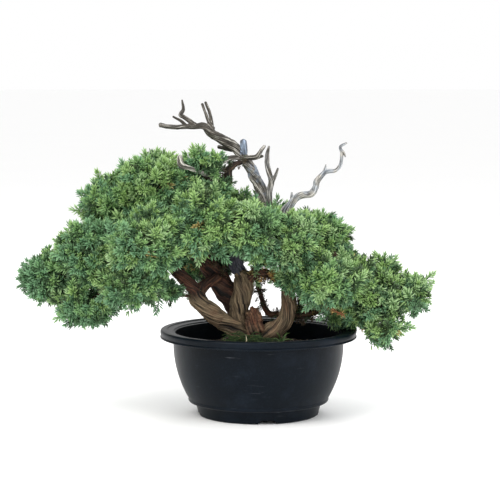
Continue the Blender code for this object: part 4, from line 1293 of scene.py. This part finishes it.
def tintNumbers(node, places, clump, rng):
    blue, fresh, pale, gold = padTints.get(node, usualTints)
    broad = softNoise(places * 0.03 + 4.0, 12) * 0.5 + 0.5
    draw = 0.3 * rng.uniform(size=len(places))
    draw = draw + 0.35 * rng.uniform(size=clump.max() + 1)[clump] + 0.35 * broad
    mid = 1 - blue - fresh - pale - gold
    order = [("gold", gold), ("blue", blue), ("mid", mid), ("fresh", fresh), ("pale", pale)]
    found = np.full(len(places), needleTints["mid"][0])
    start = 0.0
    rank = np.argsort(np.argsort(draw)) / max(1, len(draw))
    for tint, share in order:
        found[(rank >= start) & (rank < start + share)] = needleTints[tint][0]
        start += share
    return found + rng.uniform(-0.045, 0.045, len(places))


def padTwigs(centre, ends, rng):  # bare twigs from the pad's heart out to its sprigs
    parts = []
    for end in ends:
        heart = centre + (0, 0, -0.25 * (end - centre)[2]) + rng.normal(size=3) * 3
        middle = (heart + end) / 2 + rng.normal(size=3) * 3 + (0, 0, -3)
        t = np.linspace(0, 1, 6)[:, None]
        line = (1 - t) ** 2 * heart + 2 * t * (1 - t) * middle + t**2 * end
        points, faces = tubeMesh(line, np.linspace(1.15, 0.55, 6), 4)
        parts.append((points, faces, np.full(len(points), 0.4)))
    return gathered(parts)


# places where deadwood shows through: each is x, z and radius, open from the front to the depth given
clearings = [(-56, 316, 9, 0), (-66, 322, 9, 0), (-76, 327, 9, 0), (-86, 331, 9, 0), (-96, 336, 9, 0),
             (-104, 345, 9, 0), (-36, 334, 17, 90), (-20, 330, 24, 90), (2, 318, 22, 90), (8, 300, 16, 90)]


def inClearing(spots):
    found = np.zeros(len(spots), bool)
    for x, z, radius, depth in clearings:
        found |= ((spots[:, 0] - x) ** 2 + (spots[:, 2] - z) ** 2 < radius**2) & (spots[:, 1] < depth)
    return found


def sprigsOver(triangles, centre, node, kinds, eggs, rng):
    spots, normals = surfacePoints(triangles, needleMake["spacing"], rng)
    ahead = spots + normals * needleMake["probe"]
    buried = np.zeros(len(spots), bool)
    for other, (otherCentre, otherRadii) in eggs.items():
        if other != node:
            buried |= (((ahead - otherCentre) / (otherRadii * 0.8)) ** 2).sum(1) < 1
    kept = (~buried | (rng.uniform(size=len(spots)) < needleMake["buriedKept"])) & ~inClearing(spots)
    spots, normals = spots[kept], normals[kept]
    tops, topNormals = surfacePoints(triangles, needleMake["clumpSpacing"], rng)
    topWays = unit(topNormals + (0, 0, needleMake["lift"]) + rng.normal(size=tops.shape) * 0.2)
    nearest = np.argmin(((spots[:, None] - tops[None]) ** 2).sum(2), axis=1)
    spread = (spots - tops[nearest]) / needleMake["clumpReach"]
    middle = np.clip(1 - np.linalg.norm(spread, axis=1), 0, 1)
    dense = (middle > 0.14) | (rng.uniform(size=len(spots)) > needleMake["clumpGap"])
    spots, normals = spots[dense], normals[dense]
    nearest, spread, middle = nearest[dense], spread[dense], middle[dense]
    rise = middle * needleMake["clumpRise"] - needleMake["clumpSink"]
    spots = spots + topWays[nearest] * rise[:, None]
    ways = topWays[nearest] * 0.7 + spread * 0.75 + normals * 0.3
    ways = unit(ways + rng.normal(size=spots.shape) * 0.18)
    which = rng.integers(0, len(kinds), len(spots))
    sizes = rng.uniform(0.82, 1.12, len(spots))
    lengths = np.array([kind[0][:, 2].max() for kind in kinds])[which] * sizes
    leaderShare, leaderReach = needleMake["leaders"]
    leaders = rng.uniform(size=len(spots)) < leaderShare
    proud = needleMake["standProud"] + rng.normal(size=len(spots)) * 0.12 + leaderReach * leaders
    places = spots - ways * (lengths * (1 - proud))[:, None]
    tints = tintNumbers(node, spots, nearest, rng)
    shaded = (normals[:, 2] < -0.35) & (rng.uniform(size=len(spots)) < needleMake["shadedShare"])
    tints[shaded] = needleTints["blue"][0] + rng.uniform(-0.04, 0.02, shaded.sum())
    # a second layer fills the depth, in the deep tint as painted shade
    inner = rng.integers(0, len(spots), int(len(spots) * needleMake["innerShare"]))
    depth = rng.uniform(*needleMake["innerDepth"], len(inner))[:, None]
    innerSpots = centre + (spots[inner] - centre) * depth - ways[inner] * needleMake["innerBack"]
    innerWays = unit(ways[inner] + rng.normal(size=(len(inner), 3)) * 0.5)
    innerTints = needleTints["deep"][0] + rng.uniform(-0.03, 0.08, len(inner))
    allPlaces, allWays = np.vstack([places, innerSpots]), np.vstack([ways, innerWays])
    allSizes = np.concatenate([sizes, rng.uniform(0.85, 1.1, len(inner))])
    allWhich = np.concatenate([which, rng.integers(0, len(kinds), len(inner))])
    grown = scattered(kinds, allWhich, allPlaces, turnTo(allWays, rng), allSizes,
                      np.concatenate([tints, innerTints]))
    ends = places[rng.integers(0, len(places), min(needleMake["twigsEach"], len(places)))]
    twigs = padTwigs(centre, ends, rng)
    return [grown, (*twigs, np.full(len(twigs[0]), needleTints["twig"][0]))], len(spots)


def ballTriangles(centre, radii):
    points, faces = ballMesh(2)
    return points[faces] * np.array(radii) + np.array(centre)


# small masses that hang from a pad or fill between two: centre, radii
smallMasses = {
    "foliage_right_middle": [((50, -38, 194), (29, 20, 22))],
    "foliage_right_front": [((8, -38, 222), (28, 16, 13))],
    "foliage_back_low": [((-52, 34, 214), (34, 20, 18))],
    "foliage_right_outer": [((130, -18, 195), (25, 28, 20))],
    "foliage_top_left": [((-106, 0, 322), (20, 26, 18))],
}

# short sprigs on bare wood: route, number, size and tints
bareWoodSprigs = {
    "foliage_right_inner": [
        (branchRoutes["hooked_shoot"][0], 60, 0.5, ("twig", "twig", "deep")),
        (branchRoutes["low_branch"][0], 90, 0.6, ("twig", "twig", "deep", "gold")),
        ([(52, 2, 138, 1.6), (60, 4, 156, 1.3), (57, 6, 176, 0.9)], 46, 0.6, ("twig", "deep", "twig")),
        ([(68, 8, 138, 1.6), (74, 8, 154, 1.2), (82, 8, 170, 0.9)], 46, 0.6, ("twig", "deep", "twig")),
        ([(86, 12, 139, 1.6), (90, 10, 150, 1.2), (98, 8, 162, 0.9)], 40, 0.6, ("twig", "deep", "gold")),
    ],
    "foliage_right_front": [(trunkRoutes["arch branch"], 70, 0.7, ("gold", "twig", "gold", "pale"))],
    "foliage_left_tuft": [(branchRoutes["thin_shoot"][0], 24, 0.55, ("mid", "twig", "blue"))],
    "foliage_back_low": [(trunkRoutes["back trunk"][3:], 60, 0.6, ("twig", "twig", "deep"))],
    "foliage_apex_tuft": [(branchRoutes["second_apex"][0][1:], 56, 0.5, ("twig", "twig", "deep"))],
}


def sprigsAlong(route, number, size, names, kinds, rng):
    rows = smoothRoute(route)
    spot = rng.integers(2, len(rows), number)
    ways = unit(rng.normal(size=(number, 3)) + (0, 0, 0.3))
    places = rows[spot, :3] + ways * rows[spot, 3:] * 0.7
    tints = np.array([needleTints[name][0] for name in names])[rng.integers(0, len(names), number)]
    tints = tints + rng.uniform(-0.03, 0.03, number)
    sizes = size * rng.uniform(0.6, 1.2, number)
    sprigs = scattered(kinds, rng.integers(0, 3, number), places, turnTo(ways, rng), sizes, tints)
    stem = tubeMesh(rows[:, :3], rows[:, 3] * 0.7, 6)  # inside the limb, or a twig of its own
    count = len(stem[0])
    return gathered([sprigs, (*stem, np.full(count, 0.2), np.full(count, needleTints["twig"][0]))])


def growPad(node, seed, kinds, eggs):
    rng = np.random.default_rng(100 + seed)
    parts, sprigs = [], 0
    if node != "foliage_apex_tuft":
        parts, sprigs = sprigsOver(padSurface(node), padEgg(node)[0], node, kinds, eggs, rng)
    for centre, radii in smallMasses.get(node, []):
        parts += sprigsOver(ballTriangles(centre, radii), np.array(centre), node, kinds, eggs, rng)[0]
    for route, number, size, names in bareWoodSprigs.get(node, []):
        parts.append(sprigsAlong(route, number, size, names, kinds, rng))
    points, faces, along, tint = gathered(parts)
    mesh = meshFrom(node + " needles", points, faces, smooth=False)
    paletteMap(mesh, along, tint)
    return mesh, sprigs


def makeNeedleFinish():
    material, tree, shader = newMaterial("juniper needles", 0.5)
    flat = addNode(tree, "ShaderNodeUVMap", {"uv_map": "OFBake"}).outputs[0]
    parts = addNode(tree, "ShaderNodeSeparateXYZ", i0=flat).outputs
    bases = addRamp(tree, parts[1], [(row[0], row[1]) for row in needleTints.values()])
    tips = addRamp(tree, parts[1], [(row[0], row[2]) for row in needleTints.values()])
    toTip = rescale(tree, parts[0], 0.05, 0.85)
    colour = mixColours(tree, toTip, bases, tips)
    mottle = addNode(tree, "ShaderNodeTexNoise", {"noise_dimensions": "2D"}, Vector=flat, Scale=60.0,
                     Detail=2.0).outputs[0]
    share = rescale(tree, mottle, 0.35, 0.65, 0.0, 0.22)
    colour = mixColours(tree, share, colour, paint(needleMake["mottleColour"]))
    point = rescale(tree, parts[0], 0.86, 0.95, 0.0, 0.35)
    colour = mixColours(tree, point, colour, paint(needleMake["tipColour"]))
    tree.links.new(colour, shader.inputs["Base Color"])
    return material


print("foliage")
padNodes = [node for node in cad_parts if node.startswith("foliage_")]
eggs = {node: padEgg(node) for node in padNodes}
kinds = sprigKinds()
needles = makeNeedleFinish()
sprigTotal = 0
for number, node in enumerate(sorted(padNodes)):
    mesh, sprigs = growPad(node, number, kinds, eggs)
    sprigTotal += sprigs
    addPiece(node.replace("foliage", "needles"), mesh, needles, [node])
print("sprigs at the surface:", sprigTotal)

# Floor


def makeFloor():
    material, tree, shader = newMaterial("pale floor", 0.9)
    place = objectPlace(tree)
    cloud = addNoise(tree, place, 1.5, 2.0)
    pale = lighting["floorColour"]
    colour = mixColours(tree, cloud, (*pale, 1), (*[part * 0.985 for part in pale], 1))
    tree.links.new(colour, shader.inputs["Base Color"])
    shape = bmesh.new()
    bmesh.ops.create_grid(shape, x_segments=1, y_segments=1, size=60.0)
    mesh = bpy.data.meshes.new("floor")
    shape.to_mesh(mesh)
    shape.free()
    mesh.materials.append(material)
    floor = placed("floor", mesh)


print("floor and finish")
makeFloor()
bpy.context.scene.view_settings.view_transform = "Standard"
